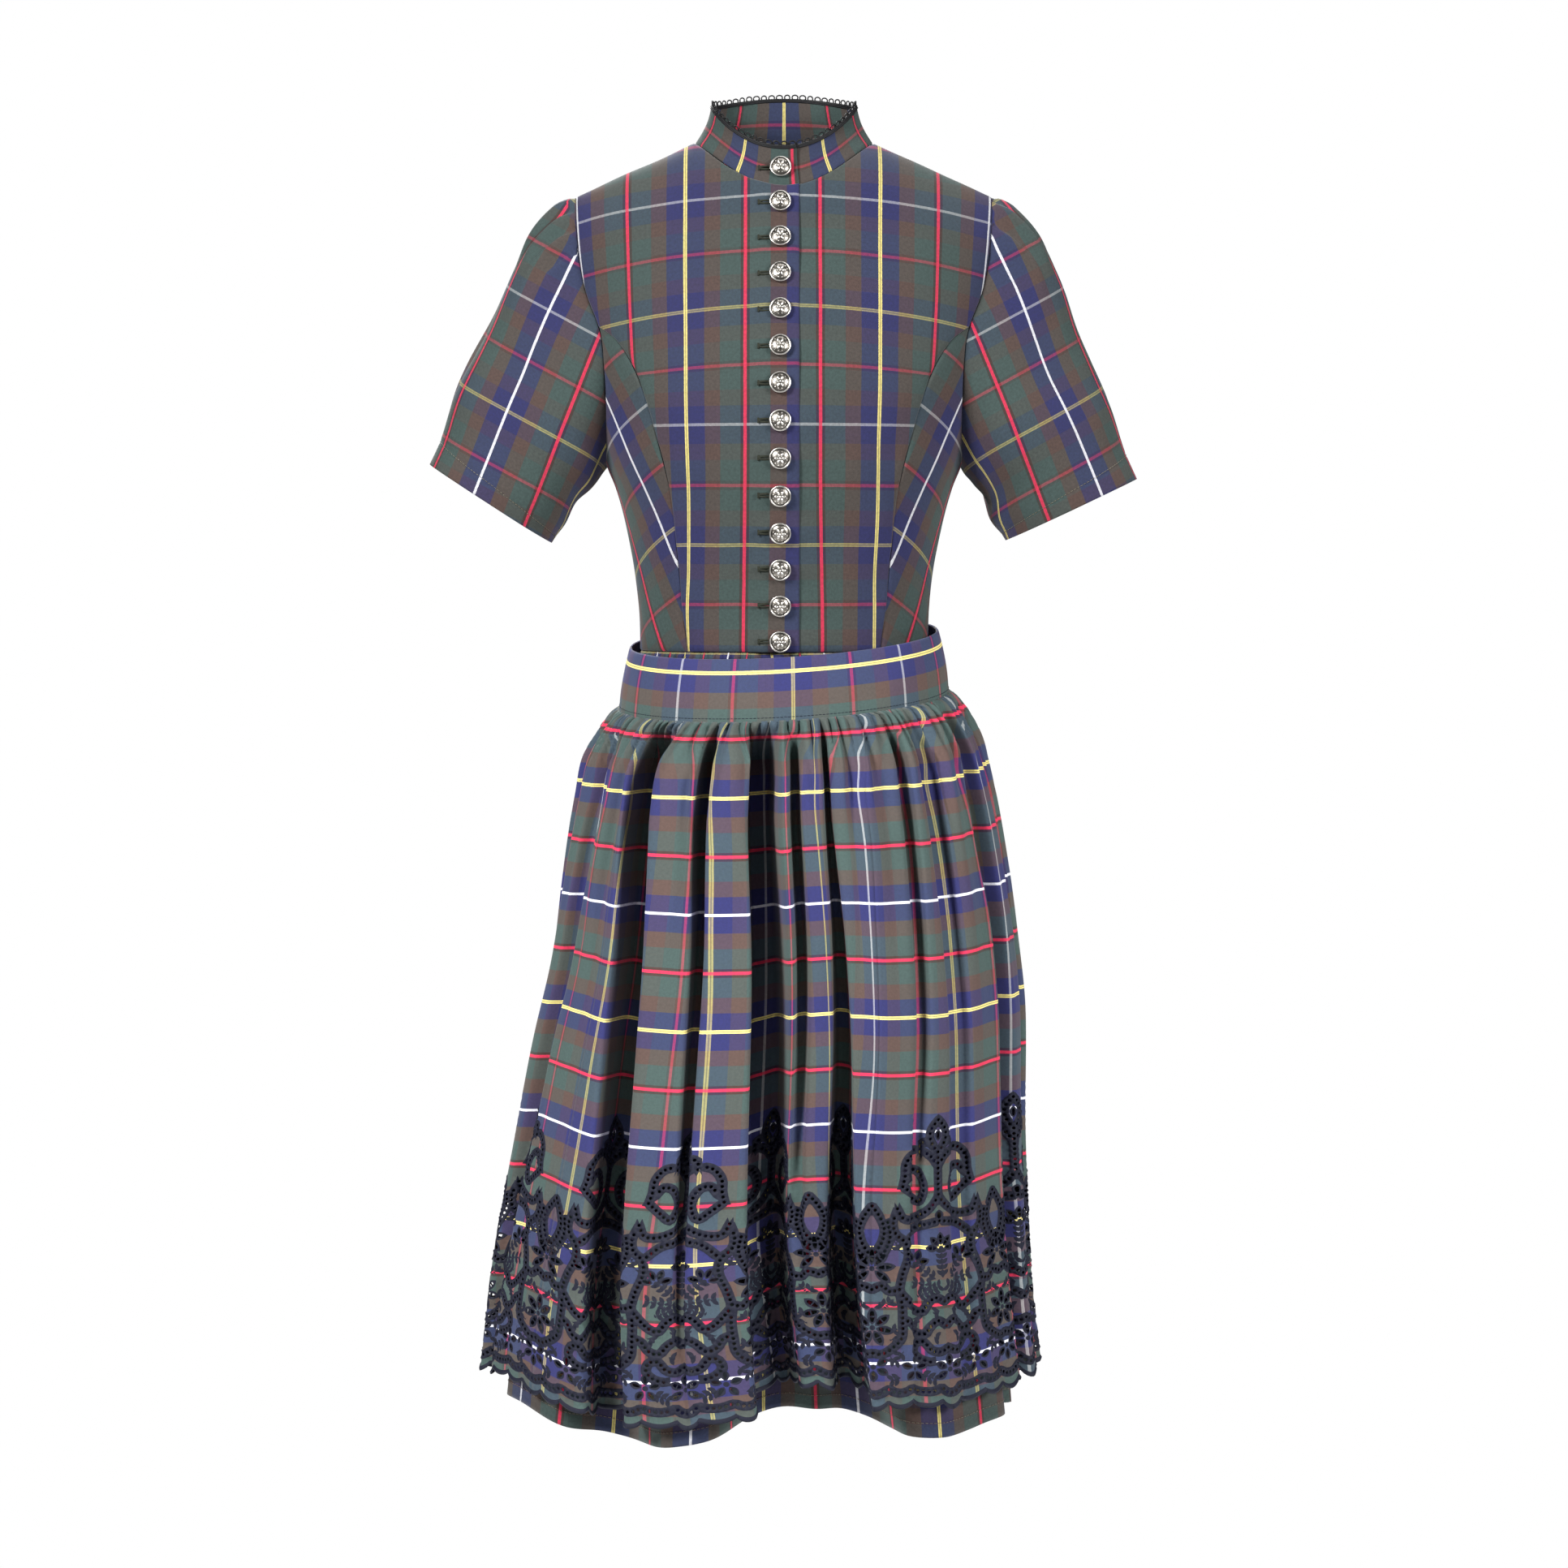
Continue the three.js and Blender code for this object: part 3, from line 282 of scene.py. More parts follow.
def ripple(a, b, seed, size):
    """Soft uneven relief, the mean of a few waves of about that size."""
    rng = np.random.default_rng(seed)
    total = 0
    for _ in range(7):
        turn = rng.uniform(0, 2 * math.pi)
        pitch = size * rng.uniform(0.7, 1.8)
        wave = (a * math.cos(turn) + b * math.sin(turn)) * 2 * math.pi / pitch
        total = total + np.sin(wave + rng.uniform(0, 6.28))
    return total / 7


# ---------------------------------------------------------------- meshes


def add_mesh(name, points, faces, uv, outward=None, face_slots=None):
    """A smooth mesh from points in millimetres, with a cloth map in millimetres of cloth."""
    mesh = bpy.data.meshes.new(name)
    mesh.from_pydata((np.asarray(points) / 1000).tolist(), [], faces)
    mesh.update()
    if outward is not None:
        co = np.empty(len(mesh.polygons) * 3, np.float32)
        mesh.polygons.foreach_get("normal", co)
        first = np.array([f[0] for f in faces])
        if (co.reshape(-1, 3) * np.asarray(outward)[first]).sum() < 0:
            mesh.flip_normals()
    layer = mesh.uv_layers.new(name="cloth")
    index = np.empty(len(mesh.loops), np.int32)
    mesh.loops.foreach_get("vertex_index", index)
    layer.data.foreach_set("uv", (np.asarray(uv, np.float32)[index] / 1000).ravel())
    mesh.polygons.foreach_set("use_smooth", [True] * len(mesh.polygons))
    if face_slots is not None:
        mesh.polygons.foreach_set("material_index", face_slots)
    obj = bpy.data.objects.new(name, mesh)
    bpy.context.scene.collection.objects.link(obj)
    return obj


def grid_faces(rows, columns):
    faces = []
    for r in range(rows - 1):
        a, b = r * columns, (r + 1) * columns
        faces += [(a + c, a + c + 1, b + c + 1, b + c) for c in range(columns - 1)]
    return faces


def cloth_grid(name, p, uv, outward):
    """Cloth from a grid of points."""
    return add_mesh(name, p.reshape(-1, 3), grid_faces(*p.shape[:2]), uv.reshape(-1, 2), outward.reshape(-1, 3))


def make_active(obj):
    bpy.ops.object.select_all(action="DESELECT")
    obj.select_set(True)
    bpy.context.view_layer.objects.active = obj


@contextmanager
def editing(obj, select="SELECT"):
    """Edit mode on one object, with everything selected or nothing."""
    make_active(obj)
    bpy.ops.object.mode_set(mode="EDIT")
    bpy.ops.mesh.select_all(action=select)
    yield
    bpy.ops.object.mode_set(mode="OBJECT")


def thicken(obj, thickness):
    """Gives cloth its wall, on its inner side."""
    make_active(obj)
    modifier = obj.modifiers.new("wall", "SOLIDIFY")
    modifier.thickness = thickness / 1000
    modifier.offset = -1.0
    bpy.ops.object.modifier_apply(modifier=modifier.name)


def merge_close(obj, distance=0.02):
    with editing(obj):
        bpy.ops.mesh.remove_doubles(threshold=distance / 1000)


def finish_piece(obj, slot, *materials, replaces=()):
    for material in materials:
        obj.data.materials.append(material)
    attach(obj, "root")
    if replaces:
        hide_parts(*replaces)
    return obj


def tube(path, radius, sides=6, closed=False, up=None):
    """Points and faces of a thread along a path."""
    path = np.asarray(path, float)
    n = len(path)
    if closed:
        tangent = unit(np.roll(path, -1, axis=0) - np.roll(path, 1, axis=0))
    else:
        tangent = unit(np.gradient(path, axis=0))
    if up is None:
        up = np.tile([0.0, 0.0, 1.0], (n, 1))
        up[np.abs(tangent[:, 2]) > 0.9] = [0.0, 1.0, 0.0]
    up = unit(np.asarray(up) - (np.asarray(up) * tangent).sum(1, keepdims=True) * tangent)
    side = np.cross(tangent, up)
    turn = np.linspace(0, 2 * math.pi, sides, endpoint=False)
    ring = np.cos(turn)[None, :, None] * side[:, None] + np.sin(turn)[None, :, None] * up[:, None]
    points = (path[:, None] + radius * ring).reshape(-1, 3)
    faces = []
    for i in range(n if closed else n - 1):
        a, b = i * sides, ((i + 1) % n) * sides
        for j in range(sides):
            k = (j + 1) % sides
            faces.append((a + j, a + k, b + k, b + j))
    if not closed:
        faces.append(tuple(range(sides - 1, -1, -1)))
        faces.append(tuple((n - 1) * sides + j for j in range(sides)))
    return points, faces


class Threads:
    """Gathers many thread tubes into one mesh."""

    def __init__(self):
        self.points, self.faces, self.count = [], [], 0

    def add(self, path, radius, **options):
        points, faces = tube(path, radius, **options)
        self.points.append(points)
        self.faces += [tuple(i + self.count for i in f) for f in faces]
        self.count += len(points)

    def build(self, name):
        points = np.concatenate(self.points)
        obj = add_mesh(name, points, self.faces, points[:, [0, 2]])
        with editing(obj):
            bpy.ops.mesh.normals_make_consistent(inside=False)
        return obj


# ---------------------------------------------------------------- torso

EDGE_POINTS = 60


def half_at(z):
    return curve(TORSO, "z", "half", z)


def depth_at(z, back):
    return curve(TORSO, "z", "back" if back else "front", z)


def shoulder_line(x, back):
    past = np.abs(x) - NECK_HALF
    inside = NAPE_RIDGE * (1 - (x / NECK_HALF) ** 2) if back else 0 * x
    return np.where(past > 0, -SHOULDER_SLOPE * past, inside)


def depth_share(x, z, back):
    q = (shoulder_line(x, back) - z) / (BACK_ROUND if back else FRONT_ROUND)
    return np.where(q >= 1, 1, 2 * q - q * q)


def torso(angle, z, back):
    """Points and normals of the torso under the bodice."""
    turn = np.radians(angle)
    x = half_at(z) * np.sin(turn)
    share = np.sqrt(np.maximum(0, depth_share(x, z, back)))
    y = (1 if back else -1) * depth_at(z, back) * share * np.cos(turn)

    def level(px, pz):
        return (y / depth_at(pz, back)) ** 2 + depth_share(px, pz, back) * ((px / half_at(pz)) ** 2 - 1)

    e = 0.05
    n = np.stack(
        [
            (level(x + e, z) - level(x - e, z)) / (2 * e),
            2 * y / depth_at(z, back) ** 2,
            (level(x, z + e) - level(x, z - e)) / (2 * e),
        ],
        axis=-1,
    )
    return np.stack([x, y, z], axis=-1), unit(n)


def neck_seam(x, back):
    inside = np.maximum(0, 1 - (x / NECK_HALF) ** 2)
    return NAPE_RISE * inside if back else -NECK_DROP * inside**1.2


def angle_at(x, z):
    return np.degrees(np.arcsin(np.clip(x / half_at(z), -1, 1)))


def on_map(x, z):
    """Rows of (angle, height) of the torso's map."""
    x, z = np.broadcast_arrays(np.asarray(x, float), np.asarray(z, float))
    return np.stack([angle_at(x, z), z], axis=-1)


def princess_line():
    z = np.linspace(WAIST_Z, PRINCESS_TOP_Z, EDGE_POINTS)
    return on_map(curve(PRINCESS, "z", "x", z), z)


def side_seam(z):
    return np.stack([np.full_like(z, float(SIDE_SEAM)), z], axis=-1)


def armhole_line(key, low, high, n=EDGE_POINTS):
    """The armhole's edge from one height up to another, closer together at the underarm's flat bottom."""
    s = np.linspace(0, 1, n)
    z = low + (high - low) * (s**1.6 if low == UNDERARM_Z else s)
    return np.stack([curve(ARMHOLE, "z", key, z), z], axis=-1)


def top_edge(start, back):
    """The neck's edge and then the shoulder's, from one x outwards."""
    neck = np.linspace(start, NECK_HALF, EDGE_POINTS)
    shoulder = np.linspace(NECK_HALF, SHOULDER_TIP_X, EDGE_POINTS)[1:]
    return np.concatenate([on_map(neck, neck_seam(neck, back)), on_map(shoulder, shoulder_line(shoulder, back))])


def resample(line, shares, back):
    """Points of a map line at shares of its true length."""
    at = lengths(torso(line[:, 0], line[:, 1], back)[0])
    return points_at(shares, at / at[-1], line)


def fill_panel(left, right, bottom, top, u, v, back):
    """Points and normals of a grid (rows up, columns across) on the torso, between four edges of its map."""
    uu, vv = u[None, :, None], v[:, None, None]
    across = left[:, None] * (1 - uu) + right[:, None] * uu
    along = bottom[None] * (1 - vv) + top[None] * vv
    corners = (
        (1 - uu) * (1 - vv) * left[0]
        + uu * (1 - vv) * right[0]
        + (1 - uu) * vv * left[-1]
        + uu * vv * right[-1]
    )
    grid = across + along - corners
    return torso(grid[..., 0], grid[..., 1], back)


def edge_roll(u, v, width, height):
    """How far the cloth dips towards its seams."""
    du = np.minimum(u, 1 - u)[None, :] * width
    dv = np.minimum(v, 1 - v)[:, None] * height
    return 0.9 * np.exp(-((np.minimum(du, dv) / 1.5) ** 2))


def droop(x, z):
    """How far the cloth's cross threads sink towards the armholes above the bust."""
    return 21 * (x / 172) ** 2 * smoothstep(-240, -170, z)


def front_fall(z):
    """Length of cloth down the centre front from the neck to a height."""
    heights = np.linspace(30, -440, 236)
    share = np.sqrt(np.maximum(0, depth_share(0 * heights, heights, False)))
    out = depth_at(heights, False) * share
    steps = np.hypot(np.diff(heights), np.diff(out) * (heights[1:] < -30))
    fall = np.concatenate([[0], np.cumsum(steps)])
    return np.interp(-z, -heights, fall)


def section_arc(x, z, back):
    """Distance round the body from the centre line, at a height."""
    a, b = half_at(z), depth_at(z, back)
    t = np.abs(np.arcsin(np.clip(x / a, -1, 1)))
    s = np.linspace(0, 1, 9)
    tt = t[..., None] * s
    ds = np.sqrt((a[..., None] * np.cos(tt)) ** 2 + (b[..., None] * np.sin(tt)) ** 2)
    return np.sign(x) * np.trapz(ds, tt, axis=-1)


# ---------------------------------------------------------------- bodice
# Each panel is a grid between four edges, u across and v up. About this wide and high:

FRONT_SIZE, SIDE_FRONT_SIZE, BACK_SIZE = (190, 440), (90, 285), (370, 500)


def sew_panel(name, p, n, lift, uv, side=1):
    """Lifts a panel off the torso, mirrors it for the wearer's right and gives it its wall."""
    flip = np.array([side, 1, 1])
    obj = cloth_grid(name, (p + n * lift[..., None]) * flip, uv, n * flip)
    thicken(obj, BODICE_WALL)
    return obj


def front_panel(side):
    """Half a front, for the wearer's right (side -1, which lies on top) or left."""
    width, height = FRONT_SIZE
    v = stations(height, 3.6)
    u = stations(width, 3.6)
    outer = np.concatenate([princess_line(), armhole_line("front", PRINCESS_TOP_Z, ARMHOLE_TOP_Z)[1:]])
    right = resample(outer, v, False)
    top = resample(top_edge(-OVERLAP, False), u, False)
    left = on_map(-OVERLAP, WAIST_Z + (top[0, 1] - WAIST_Z) * v)
    bottom = on_map(-OVERLAP + (PRINCESS[0]["x"] + OVERLAP) * u, WAIST_Z)
    p, n = fill_panel(left, right, bottom, top, u, v, False)
    x, z = p[..., 0], p[..., 2]
    from_seam = (1 - u)[None, :] * width
    lift = CLOTH - edge_roll(u, v, *FRONT_SIZE)
    if side < 0:
        lift = lift + CLOSING_LIFT * (1 - smoothstep(OVERLAP + 2, OVERLAP + 18, x))
    # Small strain creases that run out from each button, and soft relief elsewhere.
    strain = np.exp(-(((x - 2) / 30) ** 2)) * np.cos((z - BUTTON_TOP_Z) / BUTTON_STEP * 2 * math.pi) * 0.55
    near_seam = np.exp(-((from_seam / 22) ** 2)) * smoothstep(-150, -240, z)
    pucker = near_seam * 0.55 * np.sin(z / 13.0 + 1.3 * np.sin(z / 31))
    soft = 1.5 * ripple(x, z * 0.6, 11 if side < 0 else 12, 62)
    drag = (x + 0.55 * z + 170) / 17 if side < 0 else (x + 0.7 * z + 150) / 19
    soft = soft + 0.55 * np.sin(drag) * smoothstep(-190, -300, z) * smoothstep(20, 60, x)
    lift = lift + strain + pucker + soft * smoothstep(0, 14, np.minimum(u, 1 - u)[None, :] * width)
    # The plaid: its yellow lines lie 82 and 80 mm from the centre front.
    arc = section_arc(x, z, False)
    across = 82 - arc if side < 0 else arc - 80
    across = across + 2.0 * smoothstep(-260, WAIST_Z, z) * np.sign(across + 40)
    uv = np.stack([across, front_fall(z) - front_fall(-141.6) - droop(x, z)], axis=-1)
    return sew_panel("bodice_front_right" if side < 0 else "bodice_front_left", p, n, lift, uv, side)


def side_front_panel(side):
    """A side front, cut on the bias."""
    width, height = SIDE_FRONT_SIZE
    v = stations(height, 3.6)
    u = stations(width, 3.4)
    left = resample(princess_line(), v, False)
    right = side_seam(WAIST_Z + (UNDERARM_Z - WAIST_Z) * v)
    top = resample(armhole_line("front", UNDERARM_Z, PRINCESS_TOP_Z)[::-1], u, False)
    start = on_map(PRINCESS[0]["x"], WAIST_Z)[0]
    bottom = np.stack([start + (SIDE_SEAM - start) * u, np.full_like(u, WAIST_Z)], axis=-1)
    p, n = fill_panel(left, right, bottom, top, u, v, False)
    x, z = p[..., 0], p[..., 2]
    arc = section_arc(x, z, False)
    lift = CLOTH - edge_roll(u, v, *SIDE_FRONT_SIZE)
    seam = np.exp(-((u[None, :] * width / 20) ** 2)) * smoothstep(-400, -300, z)
    lift = lift + 0.6 * seam * np.sin(z / 11.5) + 0.7 * ripple(arc, z, 21 + side, 60)
    lean = math.radians(29)
    a, b = arc - 120, -z - 336
    uv = np.stack([a * math.cos(lean) + b * math.sin(lean), b * math.cos(lean) - a * math.sin(lean)], axis=-1)
    uv[..., 0] += 114
    return sew_panel("side_front_cloth_right" if side < 0 else "side_front_cloth_left", p, n, lift, uv, side)


def back_panel():
    width, height = BACK_SIZE
    v = stations(height, 4)
    u = stations(width, 4)
    seam = side_seam(np.linspace(WAIST_Z, UNDERARM_Z, EDGE_POINTS))
    edge = np.concatenate([seam, armhole_line("back", UNDERARM_Z, ARMHOLE_TOP_Z)[1:]])
    right = resample(edge, v, True)
    left = right * [-1, 1]
    half = top_edge(0, True)
    top = resample(np.concatenate([half[1:][::-1] * [-1, 1], half]), u, True)
    bottom = np.stack([-SIDE_SEAM + 2 * SIDE_SEAM * u, np.full_like(u, WAIST_Z)], axis=-1)
    p, n = fill_panel(left, right, bottom, top, u, v, True)
    x, z = p[..., 0], p[..., 2]
    lift = CLOTH - edge_roll(u, v, *BACK_SIZE) + ripple(x, z * 0.6, 31, 90)
    uv = np.stack([section_arc(x, z, True), -z - 134.5], axis=-1)
    return sew_panel("bodice_back", p, n, lift, uv)


# ---------------------------------------------------------------- collar

COLLAR_START = math.degrees(math.asin(OVERLAP / NECK_HALF))  # angle of its upper end
COLLAR_SWEEP = 360 + 2 * COLLAR_START


def collar_points(share, rise):
    """The collar's surface; share 0 to 1 round it from its upper end, rise 0 to 1 up it."""
    share, rise = np.broadcast_arrays(np.asarray(share, float), np.asarray(rise, float))
    turn = np.radians(COLLAR_START - share * COLLAR_SWEEP)
    back = np.cos(turn) < 0
    x = NECK_HALF * np.sin(turn)
    seams = []
    for is_back in (False, True):
        z = neck_seam(x, is_back)
        seams.append(torso(angle_at(x, z), z, is_back)[0])
    seam = np.where(back[..., None], seams[1], seams[0])
    outward = np.stack([np.sin(turn), -np.cos(turn), 0 * turn], axis=-1)
    rim_depth = np.where(back, RIM_BACK, RIM_FRONT)
    front = np.maximum(0, np.cos(turn))
    rim = np.stack(
        [
            RIM_HALF * np.sin(turn),
            -rim_depth * np.cos(turn),
            COLLAR_HEIGHT - 1 - (NECK_DROP - 1) * front**1.6 + 2 * NAPE_RISE * np.where(back, np.cos(turn) ** 2, 0),
        ],
        axis=-1,
    )
    lap = CLOSING_LIFT * (1 - smoothstep(0.06, 0.1, share))
    inset = (CLOTH + 0.5 - lap)[..., None]
    seam = seam - outward * inset
    seam[..., 2] += COLLAR_LIFT - 1.6
    rim = rim - outward * inset
    r = rise[..., None]
    hollow = -2.5 * np.sin(math.pi * rise)[..., None]
    return seam * (1 - r) + rim * r + outward * hollow


def collar_grid(shares, rises):
    p = collar_points(*np.meshgrid(shares, rises))
    return p, turned_out(grid_normals(p), p * LEVEL)


def collar():
    shares = np.linspace(0, 1, 150)
    rises = np.array([0, 0.02, 0.05, 0.1, 0.2, 0.3, 0.4, 0.5, 0.6, 0.7, 0.8, 0.9, 0.96, 1])
    p, n = collar_grid(shares, rises)
    lift = CLOTH - 0.7 * np.exp(-((rises / 0.03) ** 2))[:, None]
    lift = lift + 0.35 * ripple(shares[None, :] * 420, rises[:, None] * 33, 41, 40)
    p = p + n * np.broadcast_to(lift, p.shape[:2])[..., None]
    s, r = np.meshgrid(shares, rises)
    uv = np.stack([(s - 0.5) * 510, (1 - r) * 38 + 29], axis=-1)
    obj = cloth_grid("collar_cloth", p, uv, n)
    thicken(obj, COLLAR_WALL)
    return obj


def collar_edging():
    """A black braid round the rim with small loops standing on it."""
    threads = Threads()
    shares = np.linspace(0.0, 1.0, 260)
    p, n = collar_grid(shares, np.array([0.97, 1.0]))
    rim = p[1] + n[1] * 0.3
    up = np.tile([0.0, 0.0, 1.0], (len(rim), 1))
    threads.add(rim + up * 0.3, 1.5, sides=8, up=up)
    for rise, out in ((-1.1, 1.2), (-1.1, -0.9)):
        threads.add(rim + up * rise + n[1] * out, 0.8, sides=6, up=up)
    around = lengths(rim)
    count = int(around[-1] / 6.6)
    turn = np.linspace(-0.35 * math.pi, 1.35 * math.pi, 15)
    for k in range(count):
        middle = (k + 0.5) * around[-1] / count
        along = middle + 2.5 * np.cos(turn) * (1 + 0.1 * np.sin(2.1 * k))
        loop = points_at(along, around, rim)
        loop[:, 2] += 2.7 + 2.1 * np.sin(turn) + 0.2 * np.sin(5.3 * k)
        threads.add(loop, 0.62, sides=5)
    return threads.build("collar_edging")


# ---------------------------------------------------------------- sleeves


def armhole_loop():
    """The armhole from the shoulder down its front and up its back, and which point lies at the underarm."""
    front = armhole_line("front", UNDERARM_Z, ARMHOLE_TOP_Z, 90)[::-1]
    back = armhole_line("back", UNDERARM_Z, ARMHOLE_TOP_Z, 90)[1:-1]
    pf, nf = torso(front[:, 0], front[:, 1], False)
    pb, nb = torso(back[:, 0], back[:, 1], True)
    p, n = np.concatenate([pf, pb]), np.concatenate([nf, nb])
    tangent = unit(np.roll(p, -1, axis=0) - np.roll(p, 1, axis=0))
    away = unit(np.cross(tangent, n))
    away[(away * [1, 0, 0.6]).sum(1) < 0] *= -1
    return p + away * 0.3 + n * 0.2, len(front) - 1


def sleeve(spec):
    """One sleeve, and the line and normals of its hem stitches."""
    loop, underarm = armhole_loop()
    loop = np.concatenate([loop, loop[:1]])
    at = lengths(loop)
    at = at / at[-1]
    low = at[underarm]
    tilt = math.radians(spec["tilt"])
    along = np.array([math.cos(tilt), 0, math.sin(tilt)])
    middle = np.array([spec["hem_x"], -8, spec["hem_z"]])
    outer_line = unit(middle + along * SLEEVE_HEM_HALF - loop[0])
    head_out = np.array([-outer_line[2], 0, outer_line[0]])

    columns = 150
    shares = np.arange(columns) / columns
    down = np.concatenate([[0, 0.004, 0.01, 0.02], np.linspace(0.035, 0.985, 70), [0.992, 1.0]])
    s, d = np.meshgrid(shares, down)
    turn = np.interp(s, [0, low, 1], [0, math.pi, 2 * math.pi])
    depth = np.stack([0 * turn, -SLEEVE_HEM_DEPTH * np.sin(turn), 0 * turn], -1)
    hem = middle + along * (SLEEVE_HEM_HALF * np.cos(turn))[..., None] + depth
    p = points_at(s, at, loop) * (1 - d[..., None]) + hem * d[..., None]
    upper = np.maximum(0, np.cos(turn))
    head = curve(SLEEVE_HEAD, "share", "out", d) * upper**0.8
    pleat = np.cos(22 * turn + 2.2 * np.sin(3 * turn + spec["side"]))
    pleats = 3.6 * np.sign(pleat) * np.abs(pleat) ** 0.7 * smoothstep(0.32, 0.02, d) * smoothstep(0.0, 0.012, d)
    pleats = pleats * smoothstep(0.45, 0.85, upper)
    long_folds = 3.2 * np.sin(3.1 * turn + 2.5 * d + spec["side"])
    long_folds = long_folds * smoothstep(0.05, 0.4, d) * smoothstep(1, 0.6, d)
    drag = 2.2 * np.sin(9 * d + 2.2 * turn) * smoothstep(0.2, 0.5, d) * smoothstep(0.95, 0.7, d)
    p = p + head_out * (head + pleats)[..., None]
    p[..., 1] -= 7 * np.sin(math.pi * d) * np.sin(turn)
    n = turned_out(grid_normals(p, closed=True), p - p.mean(axis=1, keepdims=True))
    roll = -0.8 * np.exp(-((d / 0.008) ** 2))
    hem_step = -0.5 * np.exp(-(((d - SLEEVE_STITCHES) / 0.006) ** 2))
    soft = 0.6 * ripple(s * 380, d * 260, 51 + spec["side"], 60)
    p = p + n * (CLOTH + long_folds + drag + roll + hem_step + soft)[..., None]
    # The threads run along the arm; the map starts at the seam under it.
    arm, across = np.array([0.365, 0, -0.931]), np.array([0.931, 0, 0.365])
    seam = int(np.argmin(np.abs(turn[0] - math.pi)))
    front = (int(np.argmin(np.abs(turn[0] - math.pi / 2))) - seam) % columns
    full, normals = (np.concatenate([np.roll(g, -seam, axis=1), g[:, seam : seam + 1]], axis=1) for g in (p, n))
    step = np.diff(full, axis=1)
    step = np.linalg.norm(step - (step @ arm)[..., None] * arm, axis=-1)
    round_arm = np.concatenate([np.zeros((len(down), 1)), np.cumsum(step, axis=1)], axis=1)
    line = full[:, front]
    u = round_arm - round_arm[:, front : front + 1] - ((line - line[-1]) @ across)[:, None]
    v = (full - middle) @ arm
    uv = np.stack([u + 100 + spec["stripe"], 1.1 * (v - 0.12 * u + 76)], axis=-1)
    flip = np.array([spec["side"], 1, 1])
    obj = cloth_grid(spec["name"] + "_cloth", full * flip, uv, normals * flip)
    merge_close(obj)
    thicken(obj, SLEEVE_WALL)
    row = np.argmin(np.abs(down - SLEEVE_STITCHES))
    out = normals[row] * flip
    return obj, (full[row] * flip + out * 0.35, out)


# ---------------------------------------------------------------- hanging cloth


def band_bottom(angle):
    turn = np.radians(angle)
    return -469 - 14 * np.cos(turn) + 7.5 * np.sin(turn)


def apron_hem(angle):
    return curve(HEMS, "angle", "apron", angle)


def skirt_hem(angle):
    return curve(HEMS, "angle", "skirt", angle)


def sway(z):
    """How far the cloth swings to the wearer's right lower down."""
    return -21 * smoothstep(-640, -980, z)


def oval(half, front, back, angle, z):
    """Points and outward directions of an oval section."""
    turn = np.radians(angle)
    s, c = np.sin(turn), np.cos(turn)
    b = np.where(c > 0, front, back)
    p = np.stack([sway(z) + half * s, -b * c, z], axis=-1)
    outward = unit(np.stack([s / half, -c / b, 0 * s], axis=-1))
    return p, outward


def folds_at(angle, drop, length, width_scale, lean_scale, steepness, start_drop):
    """Depth of the folds and how far they turn the cloth, in degrees."""
    share = np.clip((drop - FOLD_START) / (length - FOLD_START), 0, 1)
    start = smoothstep(0, start_drop, drop)
    deep, turn = 0 * angle, 0 * angle
    for f in FOLDS:
        centre = f["top"] + (f["hem"] - f["top"]) * share
        off = (angle - centre + 540) % 360 - 180
        width = f["width"] + (f["hem_width"] - f["width"]) * share
        u = off / (width * width_scale)
        depth = f["top_depth"] + (f["hem_depth"] - f["top_depth"]) * share
        deep = deep + start * FOLD_DEPTH * depth * np.exp(-np.abs(u) ** steepness)
        # The valley's edge on the side away from its lean is turned over it.
        edge = u + 1.35 * np.sign(f["lean"])
        turn = turn + start * lean_scale * f["lean"] * width * np.exp(-edge * edge / 0.26)
    return deep, turn


def follow_folds(hem_angle, drop):
    """The angle at a drop of the thread that meets the hem at an angle."""
    rows = sorted((f for f in FOLDS if f["top_depth"]), key=lambda f: f["hem"])
    hems = np.array([f["hem"] for f in rows], float)
    shifts = np.array([f["top"] - f["hem"] for f in rows], float)
    share = np.clip((drop - FOLD_START) / (APRON_DROP - FOLD_START), 0, 1)
    return hem_angle + np.interp(hem_angle, hems, shifts, period=360) * (1 - share)


def hang(table, top, hem, angle, drop, folds, relief, under=None):
    """Cloth hanging from one line towards another, with relief outwards.

    At the front its folds nest in those of the cloth that hangs over it, given as the table under.
    """
    length = top - hem
    half, front, back = (curve(table, "drop", key, drop) for key in ("half", "front", "back"))
    place = angle
    if under is not None:
        over = curve(under, "drop", "half", np.maximum(drop - (top - band_bottom(angle) - APRON_LIFT), 0))
        same_side = np.degrees(np.arcsin(np.clip(half / over, 0, 1) * np.sin(np.radians(angle))))
        place = angle + (same_side - angle) * smoothstep(85, 55, np.abs(angle))
    deep, turn = folds_at(place, drop, length, **folds)
    p, outward = oval(half, front, back, angle + turn, top - drop)
    # At the front the folds run straight back.
    straight = 0.8 * smoothstep(80, 50, np.abs(angle))[..., None]
    opening = unit(outward * (1 - straight) + np.array([0, -1, 0]) * straight)
    return p + outward * relief[..., None] - opening * deep[..., None]


